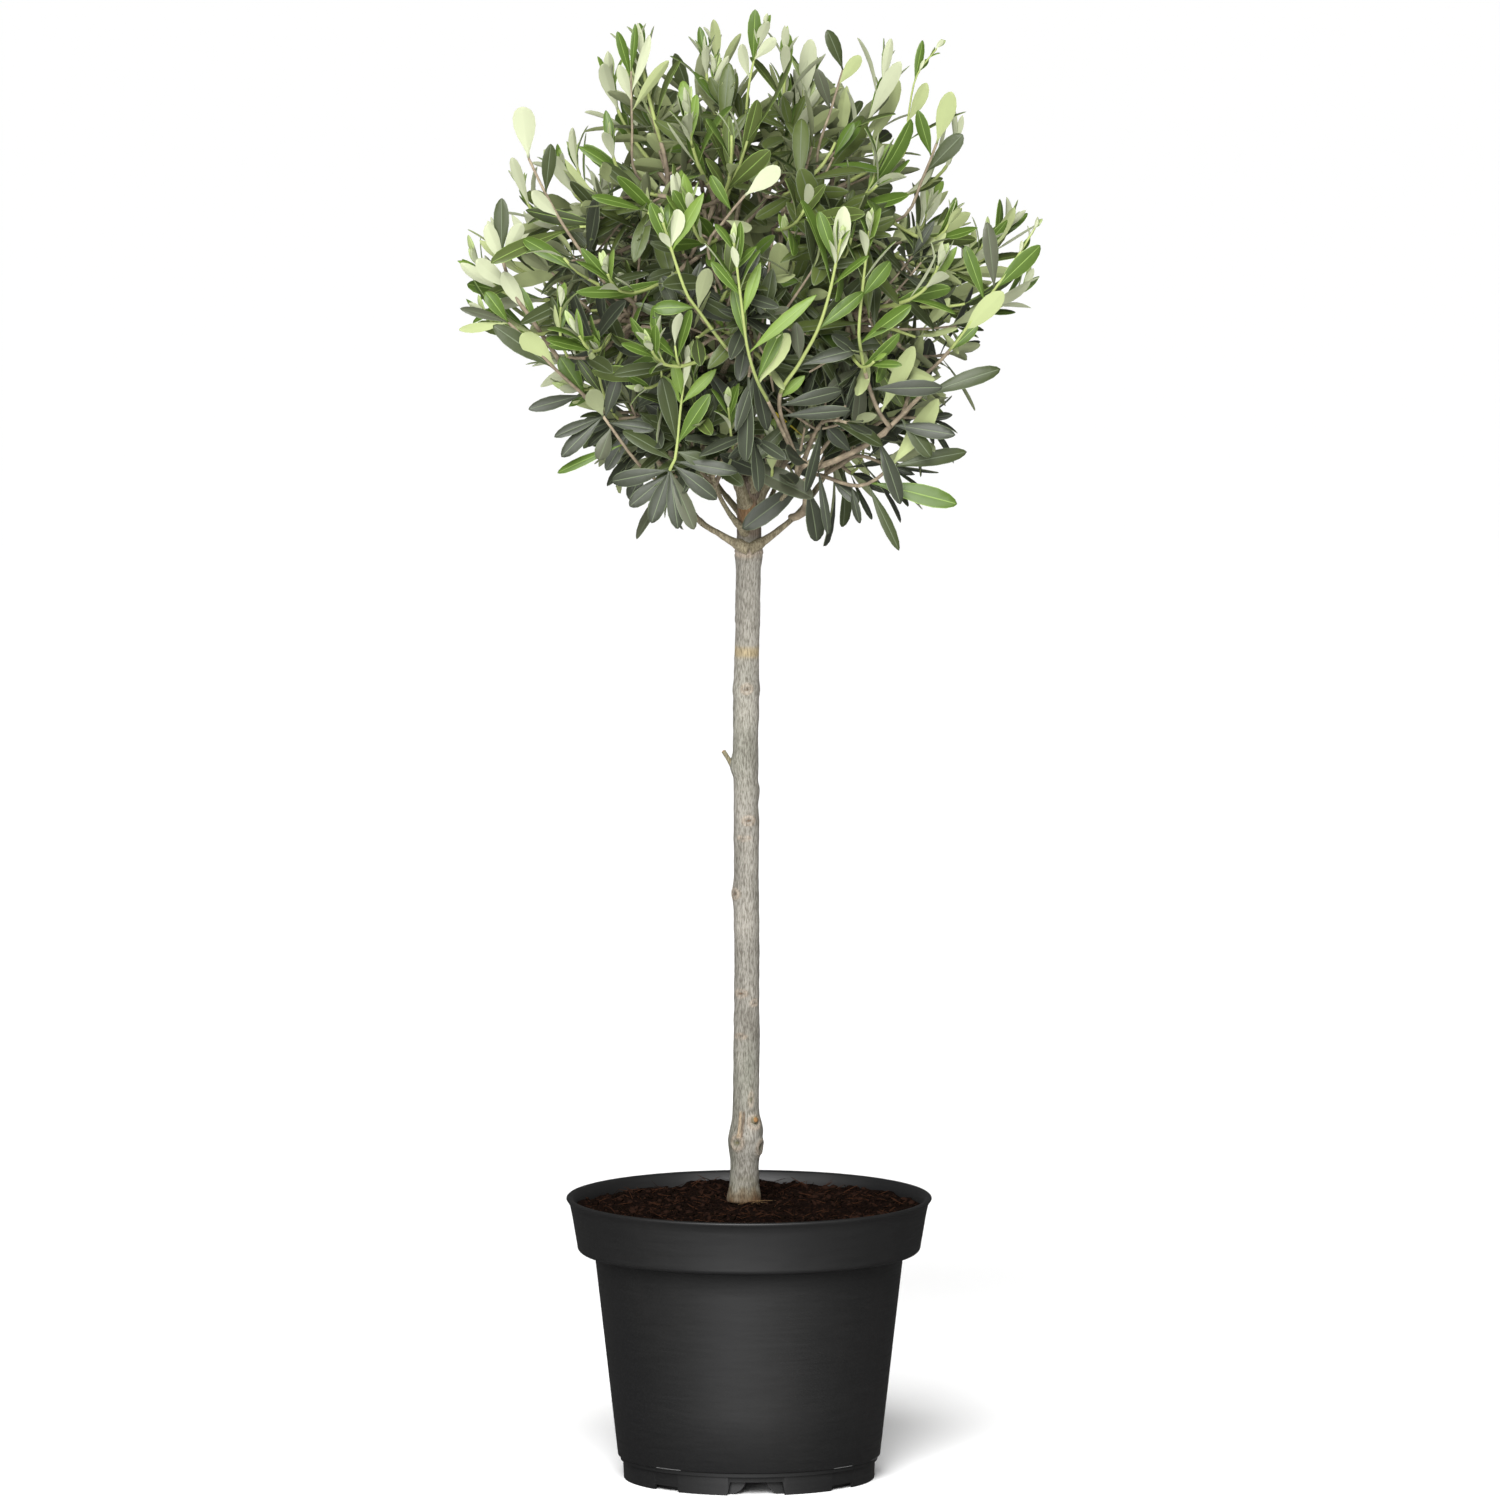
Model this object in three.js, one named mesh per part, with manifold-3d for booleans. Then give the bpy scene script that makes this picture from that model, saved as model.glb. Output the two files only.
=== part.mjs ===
// Olive tree grown as a standard: a clear stem and a loose round head, in a plastic nursery pot.
// Millimetres, +Z up. The origin is on the pot's axis, on the ground that the pot stands on.
// The side that faces -Y is the front. Azimuths are in degrees, anticlockwise from +X.

import * as THREE from "three";
import { mergeVertices } from "three/addons/utils/BufferGeometryUtils.js";
import Module from "manifold-3d";

// Driving dimensions

const GAP = 0.3; // between pieces that touch

const POT = {
  sides: 36,
  height: 209.5,
  lip: 135,
  lipRoll: 3.2, // radius of the rolled lip's section
  lipTurns: [-60, 0, 50, 100, 150], // round that section, from under the lip to its inner edge
  collarHead: 131.7,
  collarFoot: 126.5,
  fillet: { out: 0.6, height: 1.6 }, // at the collar's foot
  shoulder: 169, // height of the step under the collar
  bodyHead: 114.3,
  bodyFoot: 97,
  ringHead: 93.3,
  ringFoot: 92.6,
  ringHeight: 15.5,
  ringStep: 2, // height of the step from the foot ring to the body
  wall: 2,
  floor: 12, // underside of the raised floor
  innerRing: 79, // low wall under the floor
  innerRingFoot: 2,
};
// Cuts in the foot ring, with wide ones front and back and low ones between them.
const FRONT = -86.6; // azimuth of the wide cut in front
const WIDE_CUT = { width: 43, height: 10, slant: 2, azimuths: [FRONT, FRONT + 180] };
const LOW_CUT = { width: 24, height: 4, slant: 1, azimuths: [45, 135, 225, 315].map((a) => FRONT + a) };
// The opening in the low wall behind each wide cut, whose sides curve in between foot and head.
const ARCH = { foot: 31, head: 15, height: 9.5, waist: 0.45 };
const PAST = 5; // how far a cutting block runs past what it cuts

const COMPOST = { edge: 203.5, crown: 207.7, seat: 24 };

const TRUNK = {
  sides: 10,
  rings: 32,
  foot: 208,
  fork: 693,
  tip: 748,
  lean: -4, // X of the foot; the fork is over the pot's axis
  sway: 1.2, // most of the slow bend to either side
  footRadius: 11.3,
  waist: 9.9,
  waistAt: 300,
  headRadius: 8.9,
};
// Flare, burl, knots and forks: height, how far they stand out, half-length, and the side they are on.
const SWELLINGS = [
  { at: 208, out: 1.6, half: 12 },
  { at: 252, out: 2.4, half: 20 },
  { at: 262, out: 1.5, half: 12, azimuth: 0 },
  { at: 436, out: 1.3, half: 14, azimuth: 180 },
  { at: 490, out: 0.9, half: 12, azimuth: -60 },
  { at: 512, out: 1.2, half: 9, azimuth: 0 },
  { at: 541, out: 2.4, half: 9, azimuth: 180 },
  { at: 588, out: 0.9, half: 9 },
  { at: 690, out: 1.3, half: 14 },
  { at: 742, out: 2.2, half: 16 },
];

// The head of foliage: its middle, its reach by elevation above that, and its lobes.
const HEAD = {
  middle: 880,
  tips: 120,
  innerTips: 30,
  innerReach: 0.62,
  clearStem: -70, // elevation under which the head is open round the trunk
  turn: 0.2, // radians that a tip may lie off its even place
  ragged: 8,
  low: -0.1, // sine of the elevation under which the leaves spread and droop
};
const REACH = [
  [-90, 150],
  [-60, 168],
  [-40, 176],
  [-20, 186],
  [0, 203],
  [15, 209],
  [35, 206],
  [60, 208],
  [90, 208],
];
const LOBES = [
  { azimuth: 0, elevation: 52, out: 32, spread: 15 },
  { azimuth: 0, elevation: 14, out: 13, spread: 22 },
  { azimuth: 0, elevation: -44, out: 26, spread: 17 },
  { azimuth: 0, elevation: 84, out: 12, spread: 12 },
  { azimuth: 180, elevation: 8, out: 17, spread: 24 },
  { azimuth: 180, elevation: 34, out: 10, spread: 14 },
  { azimuth: 180, elevation: 62, out: 12, spread: 14 },
  { azimuth: 180, elevation: -34, out: -14, spread: 16 },
  { azimuth: 70, elevation: 12, out: 12, spread: 26 },
  { azimuth: -105, elevation: 6, out: 4, spread: 26 },
  { azimuth: -60, elevation: -45, out: 14, spread: 18 },
  { azimuth: 110, elevation: 48, out: 14, spread: 18 },
];

// Tiers of masses round their hubs, [radius, height]. Each mass has a bough, which springs between
// the two heights of "from", or shares of the bough that carries it, and runs on to "end" as a stem.
const TIERS = [
  {
    name: "skirt",
    count: 6,
    turn: 0,
    hub: [100, 772],
    end: [66, 764],
    from: [693, 712],
    rise: 26, // elevation at which its boughs spring
    base: 3.1, // radius where a bough springs
    tip: 1.8,
  },
  {
    name: "side",
    count: 6,
    turn: 30,
    hub: [143, 880],
    end: [98, 868],
    from: [0.34, 0.42],
    rise: 34,
    base: 3,
    tip: 1.9,
  },
  {
    name: "upper",
    count: 6,
    turn: 0,
    hub: [98, 985],
    end: [62, 958],
    from: [722, 733],
    rise: 52,
    base: 4.6,
    tip: 2.2,
  },
  {
    name: "top",
    count: 1,
    turn: 0,
    hub: [0, 1000],
    end: [0, 965],
    from: [744, 744],
    rise: 88,
    base: 4.8,
    tip: 2.3,
  },
];
const BOUGH = {
  sides: 6,
  steps: 6,
  turn: 10, // degrees in which its azimuth varies
  lift: 12, // in which its height varies
  springing: 0.36, // length of the curve's handle where it springs, as a share of its span
  arriving: 0.3,
  arrival: 66, // elevation at its end
  least: 0.5, // share of the curve that is bough and not stem
  most: 0.85,
  step: 0.02,
};
const STEM = {
  parts: 20,
  base: 0.95, // of its bough's tip
  tip: 1.5,
  root: 3.4, // length of a twig's root along the stem
  bare: 12,
};
const TWIG = {
  base: 1.5,
  tip: 1,
  start: 0.34, // where it bends, as a share of its span
  outwards: 1.1, // its slant away from the stem
  bow: 0.12,
  level: -0.3, // sine of the elevation whose twigs don't bow
  droop: 0.5,
  least: 0.3,
};
const LEAF = {
  length: 60,
  width: 17.5,
  widest: 0.56,
  root: 3.6, // length of the root along the twig
  forward: 0.8, // how far a leaf reaches past its node, as a share of its length
  spacing: 17,
  bare: 9, // twig without leaves next to its stem
  opening: { high: 28, low: 46, varies: 12, older: 8 }, // degrees from the twig
  sizes: [0.88, 1.12],
  droop: 0.2,
  least: 0.25, // of its direction away from the twig
  fits: [[1, 1], [0.8, 1], [1, 0.6], [0.75, 0.6]], // shorter and closer ways to fit a leaf in
};
const MARGIN = 0.5; // inside the walls of a mass's own space
const LIMB = { clearance: 1.2, samples: 60, bareFrom: 640 };
const SHARED = 1e-6; // cubic millimetres that a leaf may share with the rest at its root
const SEEDS = { tips: 1800, boughs: 1000, leaves: 2400 };

const GOLDEN = Math.PI * (3 - Math.sqrt(5));
const QUARTER = Math.PI / 2;
const UP = new THREE.Vector3(0, 0, 1);
const PARALLEL = 0.95; // cosine from which two directions count as one

// Small tools

const wasm = await Module();
wasm.setup();

const radians = THREE.MathUtils.degToRad;
const degrees = THREE.MathUtils.radToDeg;
const mix = THREE.MathUtils.lerp;
const vec = (x, y, z) => new THREE.Vector3(x, y, z);
const along = (azimuth, elevation) =>
  vec(Math.cos(azimuth) * Math.cos(elevation), Math.sin(azimuth) * Math.cos(elevation), Math.sin(elevation));

// The first of two directions, or the second where the first is nearly the way itself.
const unlike = (way, first, second) => (Math.abs(way.dot(first)) > PARALLEL ? second : first);

// Repeatable random numbers from 0 to 1.
function seeded(seed) {
  let state = (Math.imul(seed, 2654435761) + 12345) >>> 0;
  return () => {
    state = (Math.imul(state, 1664525) + 1013904223) >>> 0;
    return state / 4294967296;
  };
}

// A closed geometry as a solid, whichever way round its faces were listed.
function solid(geometry) {
  const bare = geometry.clone();
  bare.deleteAttribute("normal");
  bare.deleteAttribute("uv");
  const merged = mergeVertices(bare, 1e-4);
  const faces = [];
  const index = merged.index.array;
  for (let i = 0; i < index.length; i += 3) {
    const [a, b, c] = [index[i], index[i + 1], index[i + 2]];
    if (a !== b && b !== c && c !== a) faces.push(a, b, c);
  }
  const build = (triVerts) =>
    new wasm.Manifold(
      new wasm.Mesh({
        numProp: 3,
        vertProperties: new Float32Array(merged.attributes.position.array),
        triVerts: new Uint32Array(triVerts),
      }),
    );
  const made = build(faces);
  return made.volume() > 0 ? made : build(faces.reverse());
}

// The largest of a solid's bodies as a mesh, with loose scraps dropped.
function mesh(name, shape, material) {
  const bodies = shape.decompose().sort((a, b) => b.volume() - a.volume());
  const data = bodies[0].getMesh();
  const geometry = new THREE.BufferGeometry();
  geometry.setAttribute("position", new THREE.BufferAttribute(data.vertProperties, 3));
  geometry.setIndex(new THREE.BufferAttribute(data.triVerts, 1));
  geometry.computeVertexNormals();
  const made = new THREE.Mesh(geometry, material);
  made.name = name;
  return made;
}

// A limb: rings square to a path, with a radius for each ring. radiusAt may shape each ring.
function limb(path, radiusAt, sides) {
  const positions = [];
  const index = [];
  let side = unlike(path[1].clone().sub(path[0]).normalize(), vec(1, 0, 0), vec(0, 1, 0));
  path.forEach((centre, i) => {
    const ahead = path[Math.min(i + 1, path.length - 1)];
    const behind = path[Math.max(i - 1, 0)];
    const way = ahead.clone().sub(behind).normalize();
    side = side.clone().addScaledVector(way, -side.dot(way)).normalize();
    const other = way.clone().cross(side);
    for (let k = 0; k < sides; k++) {
      const turn = (2 * Math.PI * k) / sides;
      const radius = radiusAt(i / (path.length - 1), turn);
      const point = centre.clone();
      point.addScaledVector(side, radius * Math.cos(turn));
      point.addScaledVector(other, radius * Math.sin(turn));
      positions.push(point.x, point.y, point.z);
    }
  });
  for (let i = 0; i + 1 < path.length; i++) {
    for (let k = 0; k < sides; k++) {
      const [a, b] = [i * sides + k, i * sides + ((k + 1) % sides)];
      index.push(a, b, b + sides, a, b + sides, a + sides);
    }
  }
  const last = (path.length - 1) * sides;
  for (let k = 1; k + 1 < sides; k++) {
    index.push(0, k + 1, k, last, last + k, last + k + 1);
  }
  const geometry = new THREE.BufferGeometry();
  geometry.setAttribute("position", new THREE.Float32BufferAttribute(positions, 3));
  geometry.setIndex(index);
  return solid(geometry);
}

// Pot

function lathe(profile, sides) {
  const points = profile.map(([radius, height]) => new THREE.Vector2(radius, height));
  return solid(new THREE.LatheGeometry(points, sides).rotateX(Math.PI / 2));
}

// A point on the rolled lip's section.
function lipPoint(turn) {
  const { lip, lipRoll, height } = POT;
  const [across, up] = [Math.cos(radians(turn)), Math.sin(radians(turn))];
  return [lip - lipRoll + lipRoll * across, height - lipRoll + lipRoll * up];
}

// The inside of the pot from the lip down to the floor, or a little inside that.
function innerWall(gap) {
  const p = POT;
  const [lipRadius, lipHeight] = lipPoint(p.lipTurns.at(-1));
  return [
    [lipRadius - gap, lipHeight],
    [p.collarFoot + p.fillet.out - p.wall - gap, p.shoulder + p.wall + gap],
    [p.bodyHead - p.wall - gap, p.shoulder + p.wall + gap],
    [p.bodyFoot - p.wall - gap, p.floor + p.wall + gap],
  ];
}

function potProfile() {
  const p = POT;
  return [
    [p.ringFoot, 0],
    [p.ringHead, p.ringHeight],
    [p.bodyFoot, p.ringHeight + p.ringStep],
    [p.bodyHead, p.shoulder],
    [p.collarFoot, p.shoulder],
    [p.collarFoot + p.fillet.out, p.shoulder + p.fillet.height],
    [p.collarHead, p.height - 2 * p.lipRoll],
    ...p.lipTurns.map(lipPoint),
    ...innerWall(0).slice(1),
    [0, p.floor + p.wall],
    [0, p.floor],
    [p.innerRing - p.wall, p.floor],
    [p.innerRing - p.wall, p.innerRingFoot],
    [p.innerRing, p.innerRingFoot],
    [p.innerRing, p.floor],
    [p.ringHead - p.wall, p.floor],
    [p.ringFoot - p.wall, 0],
    [p.ringFoot, 0],
  ];
}

// An outline across a radius of the pot, pushed outwards from one radius to another.
function radialCut(outline, from, to, azimuth) {
  const shape = new THREE.Shape(outline.map(([x, y]) => new THREE.Vector2(x, y)));
  const block = new THREE.ExtrudeGeometry(shape, { depth: to - from, bevelEnabled: false });
  block.translate(0, 0, from);
  block.rotateX(Math.PI / 2); // the outline stands up, and the depth runs towards -Y
  block.rotateZ(radians(azimuth + 90));
  return solid(block);
}

function footCuts() {
  const cuts = [];
  const between = (POT.innerRing + POT.ringFoot) / 2;
  for (const { width, height, slant, azimuths } of [WIDE_CUT, LOW_CUT]) {
    const half = width / 2;
    const outline = [
      [-half, -PAST],
      [half, -PAST],
      [half, 0],
      [half - slant, height],
      [slant - half, height],
      [-half, 0],
    ];
    for (const azimuth of azimuths) cuts.push(radialCut(outline, between, POT.ringHead + PAST, azimuth));
  }
  const { foot, head, height, waist } = ARCH;
  const arch = [
    [-foot / 2, -PAST],
    [foot / 2, -PAST],
    [(foot + head) / 4, height * waist],
    [head / 2, height],
    [-head / 2, height],
    [-(foot + head) / 4, height * waist],
  ];
  const [from, to] = [POT.innerRing - POT.wall - PAST, between];
  for (const azimuth of WIDE_CUT.azimuths) cuts.push(radialCut(arch, from, to, azimuth));
  return cuts;
}

function pot() {
  return footCuts().reduce((made, cut) => made.subtract(cut), lathe(potProfile(), POT.sides));
}

// The compost fills the pot to just under its lip, and rises a little to the trunk.
function compost() {
  const { edge, crown, seat } = COMPOST;
  const [top, ledge, ...below] = innerWall(GAP);
  const rim = mix(ledge[0], top[0], (edge - ledge[1]) / (top[1] - ledge[1]));
  const profile = [
    [0, crown],
    [seat, crown],
    [mix(rim, seat, 0.5), mix(edge, crown, 0.6)],
    [rim, edge],
    ledge,
    ...below,
    [0, below[1][1]],
  ];
  return lathe(profile, POT.sides);
}

// Trunk

const bell = (x) => (Math.abs(x) >= 1 ? 0 : 0.5 + 0.5 * Math.cos(Math.PI * x));

function trunkCentre(height) {
  const share = Math.min(1, (height - TRUNK.foot) / (TRUNK.fork - TRUNK.foot));
  return vec(TRUNK.lean * (1 - share) + TRUNK.sway * Math.sin(2 * Math.PI * share), 0, height);
}

function trunkRadius(height, azimuth) {
  const low = Math.max(0, (TRUNK.waistAt - height) / (TRUNK.waistAt - TRUNK.foot));
  const high = Math.max(0, (height - TRUNK.waistAt) / (TRUNK.tip - TRUNK.waistAt));
  let radius = mix(TRUNK.waist, TRUNK.footRadius, low) + (TRUNK.headRadius - TRUNK.waist) * high * high;
  for (const s of SWELLINGS) {
    const facing = s.azimuth === undefined ? 1 : Math.max(0, Math.cos(azimuth - radians(s.azimuth)));
    radius += s.out * bell((height - s.at) / s.half) * facing;
  }
  return radius;
}

const trunkPath = (from, steps) =>
  Array.from({ length: steps + 1 }, (_, i) => trunkCentre(mix(from, TRUNK.tip, i / steps)));

// The trunk as rings, made larger by "extra" where it is used to cut a bough's seat.
function trunk(extra) {
  const path = trunkPath(TRUNK.foot, TRUNK.rings);
  if (extra) path[path.length - 1].z += extra;
  return limb(path, (t, turn) => trunkRadius(mix(TRUNK.foot, TRUNK.tip, t), turn) + extra, TRUNK.sides);
}

// The head's outline

function smooth(table, x) {
  let i = 0;
  while (i + 2 < table.length && x > table[i + 1][0]) i++;
  const [[x0, y0], [x1, y1]] = [table[i], table[i + 1]];
  const t = Math.min(1, Math.max(0, (x - x0) / (x1 - x0)));
  return mix(y0, y1, t * t * (3 - 2 * t));
}

// How far the outermost leaves reach from the head's middle in a direction.
function reach(direction) {
  let out = smooth(REACH, degrees(Math.asin(direction.z)));
  for (const lobe of LOBES) {
    const angle = degrees(direction.angleTo(along(radians(lobe.azimuth), radians(lobe.elevation))));
    out += lobe.out * Math.exp(-((angle / lobe.spread) ** 2));
  }
  return out;
}

// Even points over the head, from the top down, leaving the clear stem free.
function headTips() {
  const tips = [];
  for (const layer of [
    { count: HEAD.tips, share: 1 },
    { count: HEAD.innerTips, share: HEAD.innerReach },
  ]) {
    for (let k = 0; k < layer.count; k++) {
      const elevation = Math.asin(1 - (2 * (k + 0.5)) / layer.count);
      if (degrees(elevation) < HEAD.clearStem) continue;
      const seed = tips.length + 1;
      const draw = seeded(SEEDS.tips + seed);
      const direction = along(k * GOLDEN + HEAD.turn * (draw() - 0.5), elevation);
      const distance = (reach(direction) - HEAD.ragged * draw()) * layer.share;
      tips.push({
        place: direction.clone().multiplyScalar(distance).add(vec(0, 0, HEAD.middle)),
        direction,
        low: direction.z < HEAD.low || layer.share < 1,
        seed,
      });
    }
  }
  return tips;
}

// Boughs and masses

// Every bough runs on a curve from what carries it into its mass, whose stem goes on along the same curve.
function boughPlans() {
  const plans = [];
  for (const tier of TIERS) {
    for (let i = 0; i < tier.count; i++) {
      const draw = seeded(SEEDS.boughs + plans.length);
      const azimuth = radians(tier.turn + (360 * i) / tier.count + BOUGH.turn * (draw() - 0.5));
      const place = ([radius, height]) => vec(radius * Math.cos(azimuth), radius * Math.sin(azimuth), height);
      const name = tier.name + (tier.count > 1 ? "_" + (i + 1) : "");
      const lift = BOUGH.lift * (draw() - 0.5);
      const hub = place(tier.hub).add(vec(0, 0, lift));
      const end = place(tier.end).add(vec(0, 0, lift));
      plans.push({ tier, i, azimuth, hub, end, name });
    }
  }
  const main = plans.filter((p) => p.tier.name === "upper");
  for (const plan of plans.filter((p) => p.tier.name !== "side")) {
    plan.curve = boughCurve(trunkCentre(springHeight(plan)), plan);
  }
  for (const plan of plans.filter((p) => p.tier.name === "side")) {
    plan.carrier = main[plan.i];
    const [first, last] = plan.tier.from;
    plan.curve = boughCurve(plan.carrier.curve.getPoint(plan.i % 2 ? first : last), plan);
  }
  for (const plan of plans) plan.share = boughShare(plan, plans);
  return plans;
}

// Skirt boughs spring in opposite pairs from one node after another; the main ones in two rounds.
function springHeight({ tier, i }) {
  const [low, high] = tier.from;
  if (tier.name === "skirt") return mix(low, high, (i % 3) / 2);
  return i % 2 ? high : low;
}

function boughCurve(start, { tier, azimuth, end }) {
  const span = start.distanceTo(end);
  const out = start.clone().addScaledVector(along(azimuth, radians(tier.rise)), span * BOUGH.springing);
  const into = end.clone().addScaledVector(along(azimuth, radians(BOUGH.arrival)), -span * BOUGH.arriving);
  return new THREE.CubicBezierCurve3(start, out, into, end);
}

// A bough ends where its curve comes into its own mass's space for good.
function boughShare(plan, plans) {
  const { least, most, step } = BOUGH;
  let share = most;
  while (share > least && inSpace(plan.curve.getPoint(share - 2 * step), plan, plans)) share -= step;
  return share;
}

function curvePart(curve, from, to, steps) {
  return Array.from({ length: steps + 1 }, (_, i) => curve.getPoint(mix(from, to, i / steps)));
}

const boughRadius = ({ tier, share }, t) => mix(tier.base, tier.tip, Math.min(1, t / share));

function bough(plan, extra) {
  const path = curvePart(plan.curve, 0, plan.share, BOUGH.steps);
  return limb(path, (t) => boughRadius(plan, t * plan.share) + extra, BOUGH.sides);
}

// The middle lines of the limbs with their radii, and all the limbs as one solid with room round them.
function allLimbs(plans) {
  const { samples, bareFrom, clearance } = LIMB;
  const stem = trunkPath(bareFrom, samples);
  const lines = [{ path: stem, radii: stem.map((p) => trunkRadius(p.z, 0) + 1) }];
  for (const plan of plans) {
    const path = curvePart(plan.curve, 0, plan.share - BOUGH.step, samples);
    lines.push({ path, radii: path.map((_, i) => boughRadius(plan, (i / samples) * plan.share)) });
  }
  const shapes = [trunk(GAP), ...plans.map((plan) => bough(plan, clearance))];
  return { lines, solid: wasm.Manifold.union(shapes) };
}

// Nearest approach to any limb, less that limb's radius.
function limbDistance(point, lines) {
  let least = Infinity;
  for (const { path, radii } of lines) {
    for (let i = 0; i < path.length; i++) {
      least = Math.min(least, path[i].distanceTo(point) - radii[i]);
    }
  }
  return least;
}

// Whether a point lies in the space of one mass: nearer to its own hub than to any other.
function inSpace(point, plan, plans) {
  return plans.every((other) => {
    if (other === plan) return true;
    const across = other.hub.clone().sub(plan.hub);
    const middle = plan.hub.clone().add(other.hub).multiplyScalar(0.5);
    return point.clone().sub(middle).dot(across) / across.length() < -MARGIN;
  });
}

// Rings along a curve at given distances. The first ring's first corner points to "side".
function rings(curve, places, side, radiusAt) {
  const whole = curve.getLength();
  return places.map((place, i) => {
    const centre = curve.getPointAt(place / whole);
    const way = curve.getTangentAt(place / whole);
    side = side.clone().addScaledVector(way, -side.dot(way)).normalize();
    const other = way.clone().cross(side);
    const radius = radiusAt(i / (places.length - 1));
    const towards = (turn) =>
      side.clone().multiplyScalar(Math.cos(turn)).addScaledVector(other, Math.sin(turn));
    const corners = [0, 1, 2, 3].map((k) => centre.clone().addScaledVector(towards(k * QUARTER), radius));
    return { centre, way, corners, outwards: (face) => towards((face + 0.5) * QUARTER) };
  });
}

// Distances of the rings of a shoot: two at each node, with the last node at the shoot's end.
function nodePlaces(length, nodes, spacing, root) {
  const places = [0];
  for (let j = nodes - 1; j >= 0; j--) places.push(length - j * spacing - root, length - j * spacing);
  return places;
}

// Each node bears an opposite pair, a quarter turned from the pair before.
const pairFaces = (node) => [node % 2, (node % 2) + 2];
const faceCorners = (shoot, ring, face) => {
  const [low, high] = [shoot.rings[ring].corners, shoot.rings[ring + 1].corners];
  const next = (face + 1) % 4;
  return [low[face], low[next], high[next], high[face]];
};
const centreOf = (points) => points.reduce((sum, p) => sum.add(p), vec(0, 0, 0)).divideScalar(points.length);

// The stem goes on along its bough's curve, from 0.3 mm beyond the bough's tip.
function stemShoot(plan, tips) {
  const path = new THREE.CatmullRomCurve3(curvePart(plan.curve, plan.share, 1, STEM.parts));
  const length = path.getLength();
  const nodes = Math.max(1, Math.ceil(tips.length / 2));
  const places = nodePlaces(length, nodes, (length - STEM.bare) / nodes, STEM.root);
  places[0] = GAP;
  const side = unlike(path.getTangent(0), UP, vec(1, 0, 0));
  const radiusAt = (t) => mix(plan.tier.tip * STEM.base, STEM.tip, t);
  return { nodes, grown: new Map(), rings: rings(path, places, side, radiusAt) };
}

// A twig leaves its stem slantwise and bends to its tip: upwards high in the head, drooping low down.
function twigShoot(from, heading, side, tip) {
  const span = from.distanceTo(tip.place);
  const bend = from.clone().addScaledVector(heading, span * TWIG.start);
  const lift = Math.max(-TWIG.droop, Math.min(1, tip.direction.z - TWIG.level));
  bend.addScaledVector(UP, -TWIG.bow * span * lift);
  const curve = new THREE.QuadraticBezierCurve3(from, bend, tip.place);
  const whole = curve.getLength();
  const length = Math.max(TWIG.least * whole, whole - LEAF.length * LEAF.forward);
  const nodes = Math.max(1, Math.floor((length - LEAF.bare) / LEAF.spacing) + 1);
  const places = nodePlaces(length, nodes, LEAF.spacing, LEAF.root);
  const radiusAt = (t) => mix(TWIG.base, TWIG.tip, t);
  return { tip, length, nodes, grown: new Map(), rings: rings(curve, places, side, radiusAt) };
}

// A leaf on one face of a shoot: two edges and a tip, with its midrib running back to the shoot.
function leafOn(ring, face, opening, length, width, droop) {
  const outwards = ring.outwards(face);
  const heading = ring.way.clone().multiplyScalar(Math.cos(opening));
  heading.addScaledVector(outwards, Math.sin(opening));
  heading.z -= droop;
  heading.normalize();
  const across = ring.way.clone().cross(outwards).normalize();
  const root = ring.corners[face].clone().lerp(ring.corners[(face + 1) % 4], 0.5);
  const middle = root.clone().addScaledVector(heading, length * LEAF.widest);
  return {
    heading,
    sound: heading.dot(outwards) > LEAF.least,
    left: middle.clone().addScaledVector(across, -width / 2),
    right: middle.clone().addScaledVector(across, width / 2),
    tip: root.clone().addScaledVector(heading, length),
  };
}

// Corners and faces of everything that grows on a shoot. A leaf, or a smaller shoot, takes the place
// of the face that it grows from, so the whole is one closed surface.
function surface(shoot, loop, positions, index) {
  const add = (point) => positions.push(...point.toArray()) / 3 - 1;
  const corner = shoot.rings.map((ring, i) => (i === 0 && loop ? loop : ring.corners.map(add)));
  for (let i = 0; i + 1 < corner.length; i++) {
    for (let k = 0; k < 4; k++) {
      const next = (k + 1) % 4;
      const [a, b, c, d] = [corner[i][k], corner[i][next], corner[i + 1][next], corner[i + 1][k]];
      const grown = shoot.grown.get(i * 4 + k);
      if (!grown) {
        index.push(a, b, c, a, c, d);
      } else if (grown.rings) {
        surface(grown, [a, b, c, d], positions, index);
      } else {
        const [left, right, tip] = [add(grown.left), add(grown.right), add(grown.tip)];
        index.push(a, b, right, a, right, left, left, right, tip);
        index.push(b, c, right, c, tip, right, c, d, tip);
        index.push(d, a, left, d, left, tip);
      }
    }
  }
  const end = corner[corner.length - 1];
  index.push(end[0], end[1], end[2], end[0], end[2], end[3]);
  if (!loop) index.push(corner[0][0], corner[0][2], corner[0][1], corner[0][0], corner[0][3], corner[0][2]);
}

function solidFrom(positions, index) {
  const geometry = new THREE.BufferGeometry();
  geometry.setAttribute("position", new THREE.Float32BufferAttribute(positions, 3));
  geometry.setIndex(index);
  return solid(geometry);
}

// A shoot or a leaf alone, standing on the face that it would grow from, to test whether it has room.
function loneShoot(shootRings, loop) {
  const positions = [];
  const index = [];
  const first = { ...shootRings[0], corners: loop ?? shootRings[0].corners };
  surface({ rings: [first, ...shootRings.slice(1)], grown: new Map() }, null, positions, index);
  return solidFrom(positions, index);
}

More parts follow.
